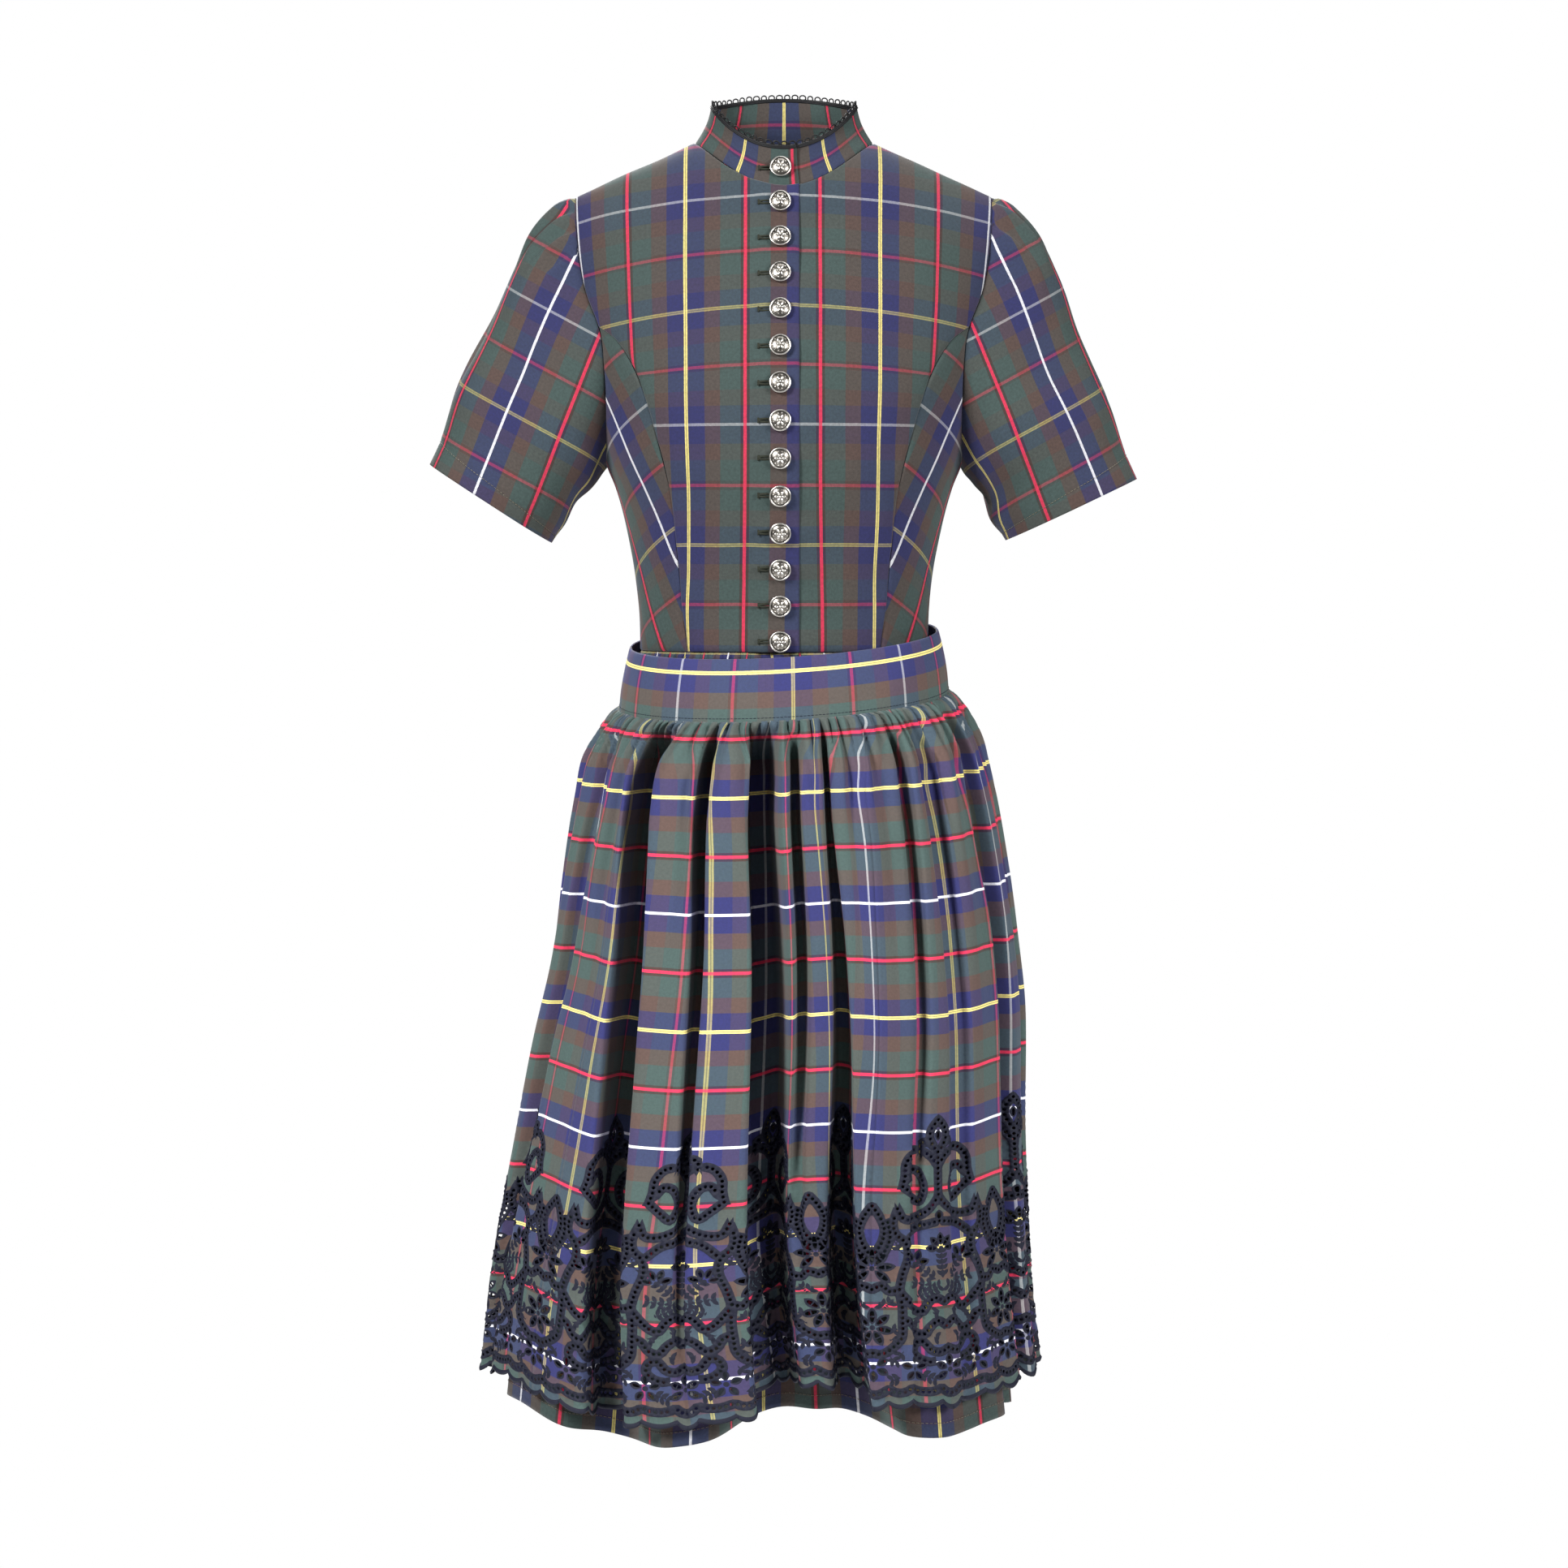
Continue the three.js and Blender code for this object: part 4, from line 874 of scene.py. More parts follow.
def gathers(angle, drop, count, depth, seed):
    """Fine uneven tucks under a seam that run out into the folds."""
    rng = np.random.default_rng(seed)
    turn = np.radians(angle)

    def wave(slow, fast):
        return rng.uniform(0.5, 1.1) * np.sin(rng.uniform(slow, fast) * turn + rng.uniform(0, 6.28))

    def wander(slow, fast):
        return sum(wave(slow, fast) for _ in range(5))

    def tucks(phase, sharpness):
        # Wide crests with narrow valleys between them.
        return 2 * (0.5 + 0.5 * np.cos(phase)) ** sharpness - 1.3

    strength = 0.85 + 0.3 * np.sin(9 * turn + 1) * np.sin(23 * turn)
    reach = 58 + 22 * np.sin(14 * turn + 2) * np.sin(5 * turn)
    fine = strength * tucks(count * turn + 1.4 * wander(4, 17), 0.36)
    fine = 1.8 * fine * smoothstep(1.2, 0.2, drop / reach) * smoothstep(-2, 5, drop)
    middle = tucks(count / 2.7 * turn + 1.1 * wander(3, 11), 0.5) * smoothstep(0, 55, drop) * smoothstep(330, 80, drop)
    long = tucks(count / 5.2 * turn + 1.2 * wander(2, 7), 0.6) * smoothstep(40, 170, drop)
    # The front is calmer, between its deep folds.
    at_front = smoothstep(100, 66, np.abs(angle))
    middle = middle * (1 - 0.6 * at_front * smoothstep(40, 110, drop))
    long = long * (1 - 0.3 * smoothstep(350, 600, drop)) * (1 - 0.85 * at_front * smoothstep(70, 180, drop))
    return depth * (fine + 1.6 * middle + 1.4 * long)


class HangingSheet:
    """A hanging cloth sampled evenly in cloth millimetres, so that flat points can be laid on it.

    It reaches from angle -reach to reach. Its front is moved by shift along the cloth.
    """

    def __init__(self, point, reach, width, length, step_u, step_v, overshoot=0, closed=False, shift=0):
        angles = np.linspace(-reach, reach, 2400 + 1)
        self.v = np.linspace(0, length + overshoot, int((length + overshoot) / step_v) + 1)
        self.u = np.linspace(0, width, int(width / step_u) + 1)
        a, v = np.meshgrid(angles, self.v)
        p = point(follow_folds(a, v), v / length)
        step = np.linalg.norm(np.diff(p, axis=1), axis=-1)
        arc = np.concatenate([np.zeros((len(self.v), 1)), np.cumsum(step, axis=1)], axis=1)
        arc = arc / arc[:, -1:] * width
        arc = arc + shift * smoothstep(-reach, 0.45 * -reach, angles) * smoothstep(reach, 0.45 * reach, angles)
        # The threads keep to the folds, so the cloth is shared out alike at all heights; it eases in near the hem.
        low = self.v > 0.62 * length
        settled = arc[low].mean(axis=0)
        loose = (0.35 + 0.65 * smoothstep(0.5, 0.85, self.v / length))[:, None]
        arc = loose * arc + (1 - loose) * settled
        self.p = np.array([points_at(self.u, *row) for row in zip(arc, p)])
        if closed:
            n = grid_normals(self.p[:, :-1], closed=True)
            n = np.concatenate([n, n[:, :1]], axis=1)
        else:
            n = grid_normals(self.p)
        self.n = turned_out(n, self.p * LEVEL)

    def lay(self, u, v):
        """Points and normals on the sheet at flat places."""
        fu = np.clip(np.asarray(u, float) / self.u[1], 0, len(self.u) - 1.001)
        fv = np.clip(np.asarray(v, float) / self.v[1], 0, len(self.v) - 1.001)
        iu, iv = fu.astype(int), fv.astype(int)
        su, sv = (fu - iu)[..., None], (fv - iv)[..., None]

        def mix(grid):
            low = grid[iv, iu] * (1 - su) + grid[iv, iu + 1] * su
            high = grid[iv + 1, iu] * (1 - su) + grid[iv + 1, iu + 1] * su
            return low * (1 - sv) + high * sv

        return mix(self.p), unit(mix(self.n))


def apron_point(angle, down):
    top = band_bottom(angle) + APRON_LIFT
    hem = apron_hem(angle)
    drop = down * (top - hem)
    relief = gathers(angle, drop, 104, 3.1, 61) + 1.2
    relief = relief + 1.5 * ripple(angle * 3.4, drop * 0.45, 62, 60) * smoothstep(60, 200, drop)
    folds = dict(width_scale=0.82, lean_scale=0.68, steepness=5.5, start_drop=34)
    return hang(APRON_HANG, top, hem, angle, drop, folds, relief)


def skirt_point(angle, down):
    top = WAIST_Z - 0.5
    hem = skirt_hem(angle)
    drop = down * (top - hem)
    # Under the apron's gathers the skirt lies closer to the body.
    hidden = smoothstep(30, 70, drop) * smoothstep(260, 160, drop) * smoothstep(130, 100, np.abs(angle))
    relief = gathers(angle, drop, 96, 1.5, 71) + 1.0 - 9 * hidden
    folds = dict(width_scale=1.4, lean_scale=0.15, steepness=2.6, start_drop=60)
    return hang(SKIRT_HANG, top, hem, angle, drop, folds, relief, APRON_HANG)


# ---------------------------------------------------------------- cutwork border
# One half of the border's repeat is drawn flat, from the palmette's axis (x 0) to the lily's axis (x 65), with
# heights above the hem, and mirrored. Ladders are satin bands with a row of eyelets.

HALF = REPEAT / 2
LADDER_HALF = 4.1
EYELET = 1.5  # radius
EYELET_STEP = 4.5
EYELET_CLEAR = 3.7
# How far the thread stands off the cloth, in millimetres.
RIDGE, LEAF_RIDGE, RIM, FOOT = 0.95, 0.9, 0.35, 0.1
LEAF_LONG, LEAF_HALF, LEAF_TURN = 7.2, 1.8, 128
LADDERS = {
    "finial": [(0, 245), (6, 238), (7.5, 230), (4, 222), (0, 217)],
    "curls": [(2, 220), (9, 226), (16, 224), (17, 217)],
    "stem": [(0, 212), (0, 196), (0, 180)],
    "scroll": [(1, 206), (7, 214), (17, 219), (28, 217), (35, 208), (36, 197), (38, 188)],
    "scroll_eye": [(33, 195), (27, 202), (19, 200), (14, 191), (14, 182), (19, 174), (28, 180), (38, 188)],
    "sweep": [(0, 179), (7, 170), (17, 163), (28, 159), (38, 160), (43, 169)],
    "cup": [(43, 169), (47, 157), (45, 147), (37, 139), (35, 127), (40, 112), (43, 99)],
    "tent": [(0, 157), (12, 155), (24, 151), (37, 139)],
    "bud": [(65, 171), (59, 162), (55, 151), (57, 140), (62, 131)],
    "bud_side": [(52, 157), (50, 145), (54, 133), (61, 126)],
    "arch": [(43, 99), (51, 97), (57, 102), (65, 99)],
    "wave": [(0, 87), (8, 91), (15, 87), (21, 79), (29, 82), (36, 89), (43, 97)],
    "frame": [(43, 97), (41, 84), (41, 70), (42, 57), (50, 48), (58, 43), (65, 44)],
    "swag": [(0, 66), (7, 71), (14, 67), (20, 60), (28, 62), (34, 70), (41, 72)],
    "volute": [(0, 47), (7, 44), (15, 46), (21, 53), (28, 52), (30, 44), (24, 38), (17, 36)],
}


def star(x, w, turn, long, half):
    """A petal of a flower, a little off its heart."""
    t = math.radians(turn)
    return x + 3.4 * math.sin(t), w + 3.4 * math.cos(t), turn, long, half


# Petals: where they start, their direction in degrees from straight up, length and half width.
PETALS = [
    *[star(0, 133, t, 10, 2.2) for t in (0, 42, 84)],
    *[star(24, 120, t, 9, 2.0) for t in (-70, -20, 30, 80)],
    *[star(65, 117, t, 15, 2.6) for t in (0, -42, -84, -130)],
    *[star(65, 66, t, 13, 2.7) for t in (0, -51, -103, -154)],
    *[star(65, 32, t, 9, 2.2) for t in (-60, -120, 180)],
    *[star(0, 28, t, 10, 2.3) for t in (0, 60, 120)],
    *[star(31, 30, t, 8.5, 2.0) for t in (0, 72, 144, 216, 288)],
    (0, 227, 0, 9, 1.8),
    (0, 158, 0, 8, 3.0),
]
HEARTS = [(0, 133), (24, 120), (65, 117), (65, 66), (65, 32), (0, 28), (31, 30)]
# Sprays: a stem from one place to another with pairs of leaves.
SPRAYS = [
    ((0, 132), (0, 108), 5),
    ((24, 121), (7, 107), 4),
    ((32, 105), (9, 102), 4),
    ((3, 101), (24, 92), 5),
    ((47, 36), (52, 41), 1),
    ((13, 20), (25, 26), 3),
    ((50, 34), (41, 46), 2),
    ((46, 140), (40, 130), 1),
    ((48, 90), (54, 84), 1),
    ((60, 88), (54, 82), 1),
    ((46, 64), (51, 62), 1),
    ((46, 54), (52, 56), 1),
    ((12, 78), (4, 80), 1),
    ((52, 20), (44, 22), 2),
    ((23, 70), (30, 74), 1),
    ((8, 56), (14, 58), 1),
]


def smooth_line(knots, step):
    """A rounded line through knots, at an even step."""
    k = np.array(knots, float)
    ext = np.concatenate([2 * k[:1] - k[1:2], k, 2 * k[-1:] - k[-2:-1]])
    out = []
    for i in range(1, len(ext) - 2):
        t = np.linspace(0, 1, 12, endpoint=False)[:, None]
        a, b, c, d = ext[i - 1], ext[i], ext[i + 1], ext[i + 2]
        out.append(0.5 * (2 * b + (c - a) * t + (2 * a - 5 * b + 4 * c - d) * t**2 + (3 * b - a - 3 * c + d) * t**3))
    line = np.concatenate([*out, k[-1:]])
    at = lengths(line)
    count = max(2, int(round(at[-1] / step)) + 1)
    return points_at(np.linspace(0, at[-1], count), at, line)


def headings(line):
    """Directions along a flat line, and to its side."""
    tangent = unit(np.gradient(line, axis=0))
    return tangent, np.stack([-tangent[:, 1], tangent[:, 0]], axis=-1)


def scallop_depth(x):
    """Depth of the scalloped edge, with x from the palmette's axis."""
    s = (np.asarray(x, float) / REPEAT + PALMETTE_SHARE) % 1
    depth, start = 0 * s, 0.0
    for share, lobe in LOBES:
        inside = (s >= start) & (s <= start + share)
        wave = np.sin(math.pi * np.clip((s - start) / share, 0, 1))
        depth = np.where(inside, SCALLOP * lobe * wave**0.7, depth)
        start += share
    return depth


def lens(x, w, turn, long, half, start, end, points):
    """Outline of a petal that points away from x, w, or of a slice across it; one that starts early is whole."""
    t = math.radians(turn)
    axis, side = np.array([math.sin(t), math.cos(t)]), np.array([math.cos(t), -math.sin(t)])
    s = np.linspace(start, end, points)
    share = np.clip((s - start) / (end - start), 0, 1) if start < 0 else s
    bulge = half * np.sin(math.pi * share) ** 0.75
    up = np.array([x, w]) + axis * (s * long)[:, None]
    outline = np.concatenate([up + side * bulge[:, None], (up - side * bulge[:, None])[::-1]])
    keep = np.linalg.norm(outline - np.roll(outline, 1, axis=0), axis=1) > 0.05
    return outline[keep]


def inside_polygons(points, polygons):
    """Which points lie inside some polygon."""
    x, y = points[:, 0], points[:, 1]
    hit = np.zeros(len(points), bool)
    for polygon in polygons:
        inside = np.zeros(len(points), bool)
        for (xi, yi), (xj, yj) in zip(polygon, np.roll(polygon, 1, axis=0)):
            crosses = (yi > y) != (yj > y)
            with np.errstate(divide="ignore", invalid="ignore"):
                inside ^= crosses & (x < (xj - xi) * (y - yi) / (yj - yi) + xi)
        hit |= inside
    return hit


def near_lines(points, lines, reach):
    """Which points lie within reach of some line."""
    hit = np.zeros(len(points), bool)
    for line in lines:
        for a, b in zip(line[:-1], line[1:]):
            d = b - a
            t = np.clip(((points - a) @ d) / max(d @ d, 1e-9), 0, 1)
            hit |= np.linalg.norm(points - (a + t[:, None] * d), axis=1) < reach
    return hit


def border_tile():
    """The flat border of one repeat: points, triangles, which triangles are thread, and the lift of each point."""
    verts, edges, lift = [], [], []

    def put(points, height, loop=False, chain=False):
        """Adds points at a height, joined in a chain or a loop or left loose."""
        first = len(verts)
        for q in points:
            verts.append((float(q[0]), float(q[1])))
            lift.append(height)
        n = len(points)
        if loop or chain:
            edges.extend((first + i, first + i + 1) for i in range(n - 1))
        if loop:
            edges.append((first + n - 1, first))

    def within(points):
        """Those points that lie well inside the half repeat."""
        x, w = points[:, 0], points[:, 1]
        return points[(x > 0.25) & (x < HALF - 0.25) & (w > -scallop_depth(x) + 0.4)]

    holes, lines, lenses, leaves, stems, centres = [], [], [], [], [], []
    hem = [(x, 13.5 - 0.85 * float(scallop_depth(x))) for x in np.linspace(0, HALF, 23)]
    for knots in [*LADDERS.values(), hem]:
        lines.append(smooth_line(knots, 2.4))
        # Eyelets, clear of each other and of the repeat's edges.
        line = smooth_line(knots, EYELET_STEP)
        for q, t, s in zip(line, *headings(line)):
            crowded = any(np.hypot(*(q - c)) < EYELET_CLEAR for c in centres)
            if crowded or 0.6 < q[0] < 1.7 or 0.6 < HALF - q[0] < 1.7:
                continue
            angle = np.radians(np.arange(6) * 60 + 30)[:, None]
            centres.append(q)
            holes.append(q + EYELET * (np.cos(angle) * t * 0.98 + np.sin(angle) * s))
    for x, w in HEARTS:
        turn = np.arange(10) * math.pi / 5
        lenses.append(np.array([x, w]) + 2.3 * np.stack([np.cos(turn), np.sin(turn)], -1))
    for x, w, turn, long, half in PETALS:
        lenses.append(lens(x, w, turn, long, half + 1.3, -0.06, 1.1, 8))
        cuts = 2 if long > 9 else 1
        for k in range(cuts):
            a = 0.12 + 0.8 * k / cuts
            b = 0.12 + 0.8 * (k + 1) / cuts - 0.08
            holes.append(lens(x, w, turn, long, half * 0.72, a, b, 4))
    for start, end, pairs in SPRAYS:
        start, end = np.array(start, float), np.array(end, float)
        heading = math.degrees(math.atan2(*(end - start)))
        stems.append(np.stack([start + (end - start) * s for s in np.linspace(0, 1, 6)]))
        leaves.append([])
        for k in range(pairs):
            foot = start + (end - start) * (k + 0.6) / pairs
            for turn in (LEAF_TURN, -LEAF_TURN):
                leaves[-1].append(lens(*foot, heading + turn, LEAF_LONG, LEAF_HALF, 0, 1, 5))

    # The edges of the half repeat.
    rows = np.linspace(0, BORDER_TOP, 64)
    for x in (0.0, HALF):
        low = -float(scallop_depth(x))
        side_rows = np.concatenate([[low], rows[rows > low + 0.8]])
        put([(x, w) for w in side_rows], 0, chain=True)
    xs = np.linspace(0, HALF, 33)
    put([(x, -float(scallop_depth(x))) for x in xs], 0.5, chain=True)
    put([(x, 4.2 - float(scallop_depth(x)) * 0.97) for x in xs], 0, chain=True)
    put([(x, 2.0 - float(scallop_depth(x))) for x in xs[1:-1]], 1.2)
    put([(x, BORDER_TOP) for x in np.linspace(0, HALF, 21)], 0, chain=True)

    for line in lines:
        side = headings(line)[1]
        others = [o for o in lines if o is not line]
        for offset in (LADDER_HALF, -LADDER_HALF):
            # The ladder's edge, in runs that other ladders don't cover, and its ridge.
            outline = line + side * offset
            buried = near_lines(outline, others, LADDER_HALF - 0.2)
            clear = (outline[:, 0] > 0.2) & (outline[:, 0] < HALF - 0.2) & ~buried
            run = []
            for q, ok in [*zip(outline, clear), (None, False)]:
                if ok:
                    run.append(q)
                elif run:
                    put(run, 0.0, chain=True)
                    run = []
            put(within(line + side * offset * 0.83)[::2], RIDGE)
    for ring in holes:
        if ring[:, 0].min() < HALF and ring[:, 0].max() > 0:
            put(ring, RIM, loop=True)
    for body in lenses:
        put(body, FOOT, loop=True)
    for stem, pairs in zip(stems, leaves):
        put(within(stem), 0.5, chain=True)
        for leaf in pairs:
            put(leaf, FOOT, loop=True)
            put([leaf.mean(axis=0)], LEAF_RIDGE)
    # Plain points between the shapes.
    step = 4.2
    for r in range(int(BORDER_TOP / (step * 0.87))):
        w = r * step * 0.87 + 3
        x = np.arange(0.5 * step * (r % 2) + 1.4, HALF - 1, step)
        plain = within(np.stack([x, np.full_like(x, w)], axis=-1))
        put(plain[~near_lines(plain, lines, LADDER_HALF + 1)], 0)

    flat = [Vector(q) for q in verts]
    out_verts, _, out_faces, orig_verts, _, _ = delaunay_2d_cdt(flat, edges, [], 0, 0.02)
    v = np.array([(q.x, q.y) for q in out_verts])
    height = np.array([max((lift[i] for i in group), default=0.3) for group in orig_verts])
    faces = np.array([f for f in out_faces if len(f) == 3])
    centre = v[faces].mean(axis=1)
    keep = (centre[:, 0] > 0) & (centre[:, 0] < HALF) & (centre[:, 1] < BORDER_TOP)
    keep &= centre[:, 1] > -scallop_depth(centre[:, 0]) - 0.05
    keep &= ~inside_polygons(centre, holes)
    thread = centre[:, 1] < 4.15 - scallop_depth(centre[:, 0]) * 0.97
    thread |= near_lines(centre, lines, LADDER_HALF) | near_lines(centre, stems, 0.8)
    thread |= inside_polygons(centre, [*lenses, *sum(leaves, [])])
    faces, thread = faces[keep], thread[keep]
    used = np.zeros(len(v), bool)
    used[faces] = True
    number = np.cumsum(used) - 1
    v, height, faces = v[used], height[used], number[faces]
    # Points of plain cloth stay down.
    on_thread = np.zeros(len(v), bool)
    on_thread[faces[thread]] = True
    height = np.where(on_thread, height, 0)
    # Mirror to the whole repeat.
    both = np.concatenate([v, v * [-1, 1]])
    flipped = faces[:, ::-1] + len(v)
    return both, np.concatenate([faces, flipped]), np.concatenate([thread, thread]), np.tile(height, 2)


def apron_cloth(sheet):
    """The apron in three meshes that meet between repeats, each with its number of repeats. The border is pierced."""
    tile_v, tile_f, tile_thread, tile_lift = border_tile()
    near = np.concatenate([np.arange(0, 62, 2.6), np.arange(64.5, APRON_DROP - BORDER_TOP, 4.4)])
    rows = np.append(near, APRON_DROP - BORDER_TOP)
    start = 0
    for name, repeats in APRON_PIECES:
        # Plain cloth above, then the border's repeats side by side.
        columns = start + np.linspace(0, repeats * REPEAT, repeats * 40 + 1)
        uu, vv = np.meshgrid(columns, rows)
        points = [np.stack([uu.ravel(), vv.ravel()], -1)]
        quads = np.array(grid_faces(len(rows), len(columns)))
        faces = [quads[:, [[0, 1, 2], [0, 2, 3]]].reshape(-1, 3)]
        for r in range(repeats):
            centre = start + HALF + r * REPEAT
            points.append(np.stack([centre + tile_v[:, 0], APRON_DROP - tile_v[:, 1]], -1))
            faces.append(tile_f + uu.size + r * len(tile_v))
        flat, tri = np.concatenate(points), np.concatenate(faces)
        lift = np.concatenate([np.zeros(uu.size), *[tile_lift] * repeats])
        thread = np.concatenate([np.zeros(len(faces[0]), bool), *[tile_thread] * repeats])
        # Triangles all turn the same way before they are thickened.
        ab, ac = (flat[tri[:, i]] - flat[tri[:, 0]] for i in (1, 2))
        turned = ab[:, 0] * ac[:, 1] > ab[:, 1] * ac[:, 0]
        tri[turned] = tri[turned][:, ::-1]
        p, n = sheet.lay(np.clip(flat[:, 0], 0, APRON_CLOTH), flat[:, 1])
        uv = flat[:, ::-1] - APRON_PLAID
        obj = add_mesh(name, p + n * lift[:, None], tri.tolist(), uv, face_slots=thread.astype(np.int32))
        merge_close(obj, 0.03)
        with editing(obj, "DESELECT"):
            bpy.ops.mesh.select_loose()
            bpy.ops.mesh.delete(type="VERT")
        thicken(obj, APRON_WALL)
        yield obj, repeats
        start += repeats * REPEAT


def skirt_cloth():
    sheet = HangingSheet(skirt_point, 180, SKIRT_CLOTH, SKIRT_DROP, 2.5, 4, closed=True)
    u = np.linspace(0, SKIRT_CLOTH, 341)
    v = np.concatenate([np.arange(0, 40, 4), np.linspace(40, SKIRT_DROP - 8, 88), [SKIRT_DROP - 4, SKIRT_DROP]])
    uu, vv = np.meshgrid(u, v)
    p, n = sheet.lay(uu, vv)
    hem_step = -0.6 * np.exp(-(((vv - SKIRT_STITCHES) / 1.5) ** 2))
    uv = np.stack([uu - SKIRT_CLOTH / 2, vv], axis=-1)
    obj = cloth_grid("skirt_cloth", p + n * hem_step[..., None], uv, n)
    merge_close(obj)
    thicken(obj, SKIRT_WALL)
    return obj, sheet


def band_points(share, rise):
    angle = -BAND_REACH + 2 * BAND_REACH * share
    z = band_bottom(angle) + BAND_WIDTH * rise
    half, front, back = 138 - 9 * rise, 110 - 6 * rise, 91 - 11.4 * rise
    p, outward = oval(half, front, back, angle, z)
    lift = 2.3 * smoothstep(0.93, 0.955, share)
    return p + outward * (lift + 1.5 * np.sin(math.pi * rise))[..., None]


def apron_band():
    """The band, and the line and normals of its stitches."""
    shares = np.linspace(0, 1, 260)
    rises = np.array([0, 0.015, 0.04, 0.075, 0.12, 0.2, 0.3, 0.4, 0.5, 0.6, 0.7, 0.8, 0.88, 0.94, 0.975, 1])
    s, r = np.meshgrid(shares, rises)
    p = band_points(s, r)
    n = turned_out(grid_normals(p), p * LEVEL)
    lift = 2.0 - 0.35 * np.exp(-(((r - 0.055) / 0.012) ** 2)) - 0.8 * np.exp(-(((r - 1) / 0.02) ** 2))
    lift = lift + 0.8 * ripple(s * 800, r * 53, 81, 45) * np.sin(math.pi * r)
    p = p + n * lift[..., None]
    middle, stitched = 8, 3  # rows of the rises
    arc = lengths(p[middle])
    centre = np.interp(0.5, shares, arc)
    uv = np.stack([(1 - r) * BAND_WIDTH - 11.7, arc[None, :] - centre - 7.6 + 0 * r], axis=-1)
    obj = cloth_grid("apron_band_cloth", p, uv, n)
    thicken(obj, BAND_WALL)
    return obj, (p[stitched] + n[stitched] * 0.1, n[stitched])


# ---------------------------------------------------------------- buttons and buttonholes


def button_seats():
    """Place and outward direction of each button's back."""
    seats = []
    share = (COLLAR_START - math.degrees(math.asin(BUTTON_X / NECK_HALF))) / COLLAR_SWEEP
    p, n = collar_grid(np.array([share - 0.01, share, share + 0.01]), np.array([0.4, COLLAR_BUTTON_RISE, 0.52]))
    seats.append((p[1, 1] + n[1, 1] * (CLOTH + 1.2), n[1, 1]))
    for i in range(BODICE_BUTTONS):
        z = np.array(BUTTON_TOP_Z - i * BUTTON_STEP)
        p, n = torso(angle_at(np.array(float(BUTTON_X)), z), z, False)
        seats.append((p + n * (CLOTH + CLOSING_LIFT + 0.9), n))
    return seats


def button_body():
    """A domed button with a turned rim and a small rosette in relief, 18 mm across, facing up."""
    dome = [(6.9, 3.05), (5.2, 3.95), (2.6, 4.6), (0, 4.8)]
    profile = [(0, 0), (6.2, 0), (8.2, 1.2), (9, 2.0), (8.95, 2.8), (8.4, 3.35), (7.8, 3.0), (7.35, 2.5), *dome]
    mesh = bpy.data.meshes.new("button")
    mesh.from_pydata([(r / 1000, 0, h / 1000) for r, h in profile], [(i, i + 1) for i in range(len(profile) - 1)], [])
    obj = bpy.data.objects.new("button", mesh)
    bpy.context.scene.collection.objects.link(obj)
    with editing(obj):
        bpy.ops.mesh.spin(steps=36, angle=2 * math.pi, center=(0, 0, 0), axis=(0, 0, 1))
        bpy.ops.mesh.select_all(action="SELECT")
        bpy.ops.mesh.remove_doubles(threshold=0.00001)
    # The field inside the rim takes the second material.
    for face in obj.data.polygons:
        ring = math.hypot(face.center.x, face.center.y) * 1000
        face.material_index = 1 if face.center.z > 0.0024 and ring < 7.9 else 0
    with editing(obj, "DESELECT"):
        # Six petals, a heart and twelve beads round them.
        for k in range(6):
            turn = k * math.pi / 3
            spot = (0.0031 * math.cos(turn), 0.0031 * math.sin(turn), 0.00468)
            bpy.ops.mesh.select_all(action="DESELECT")
            bpy.ops.mesh.primitive_uv_sphere_add(segments=10, ring_count=6, radius=0.001, location=spot)
            bpy.ops.transform.resize(value=(1.9, 1.05, 0.75), orient_type="GLOBAL", center_override=spot)
            bpy.ops.transform.rotate(value=-turn, orient_axis="Z", center_override=spot)
        beads = [(0.0058 * math.cos(a), 0.0058 * math.sin(a), 0.00395) for a in np.radians(np.arange(12) * 30 + 15)]
        for spot, radius in [((0, 0, 0.0052), 0.001), *[(bead, 0.00048) for bead in beads]]:
            bpy.ops.mesh.select_all(action="DESELECT")
            bpy.ops.mesh.primitive_uv_sphere_add(segments=8, ring_count=5, radius=radius, location=spot)
        bpy.ops.mesh.select_all(action="SELECT")
        bpy.ops.mesh.normals_make_consistent(inside=False)
    obj.data.polygons.foreach_set("use_smooth", [True] * len(obj.data.polygons))
    return obj


def facing(place, normal):
    """Matrix that stands something on a place with its top along the normal and its side level."""
    z = Vector(normal).normalized()
    x = Vector((0, 0, 1)).cross(z).normalized()
    y = z.cross(x)
    m = Matrix((x, y, z)).transposed().to_4x4()
    m.translation = Vector(place) / 1000
    return m


def buttonholes(seats):
    """A worked slit with a bar at its end beside each button."""
    threads = Threads()
    t = np.linspace(0, 2 * math.pi, 28, endpoint=False)
    for place, normal in seats:
        side = unit(np.cross([0, 0, 1.0], normal))
        if side[0] > 0:
            side = -side
        up = np.cross(normal, side)
        if up[2] < 0:
            up = -up
        centre = place - normal * 0.9 + side * BUTTONHOLE_AWAY
        long = np.sign(np.cos(t)) * np.abs(np.cos(t)) ** 0.7
        path = centre + side * (BUTTONHOLE_LONG * long)[:, None] + up * (BUTTONHOLE_WIDE * np.sin(t))[:, None]
        threads.add(path, 1.0, sides=6, closed=True, up=np.tile(normal, (len(t), 1)))
        bar = centre + side * 6.2 + up * np.linspace(-2.3, 2.3, 5)[:, None]
        threads.add(bar, 0.8, sides=6, up=np.tile(normal, (5, 1)))
    return threads.build("buttonholes")


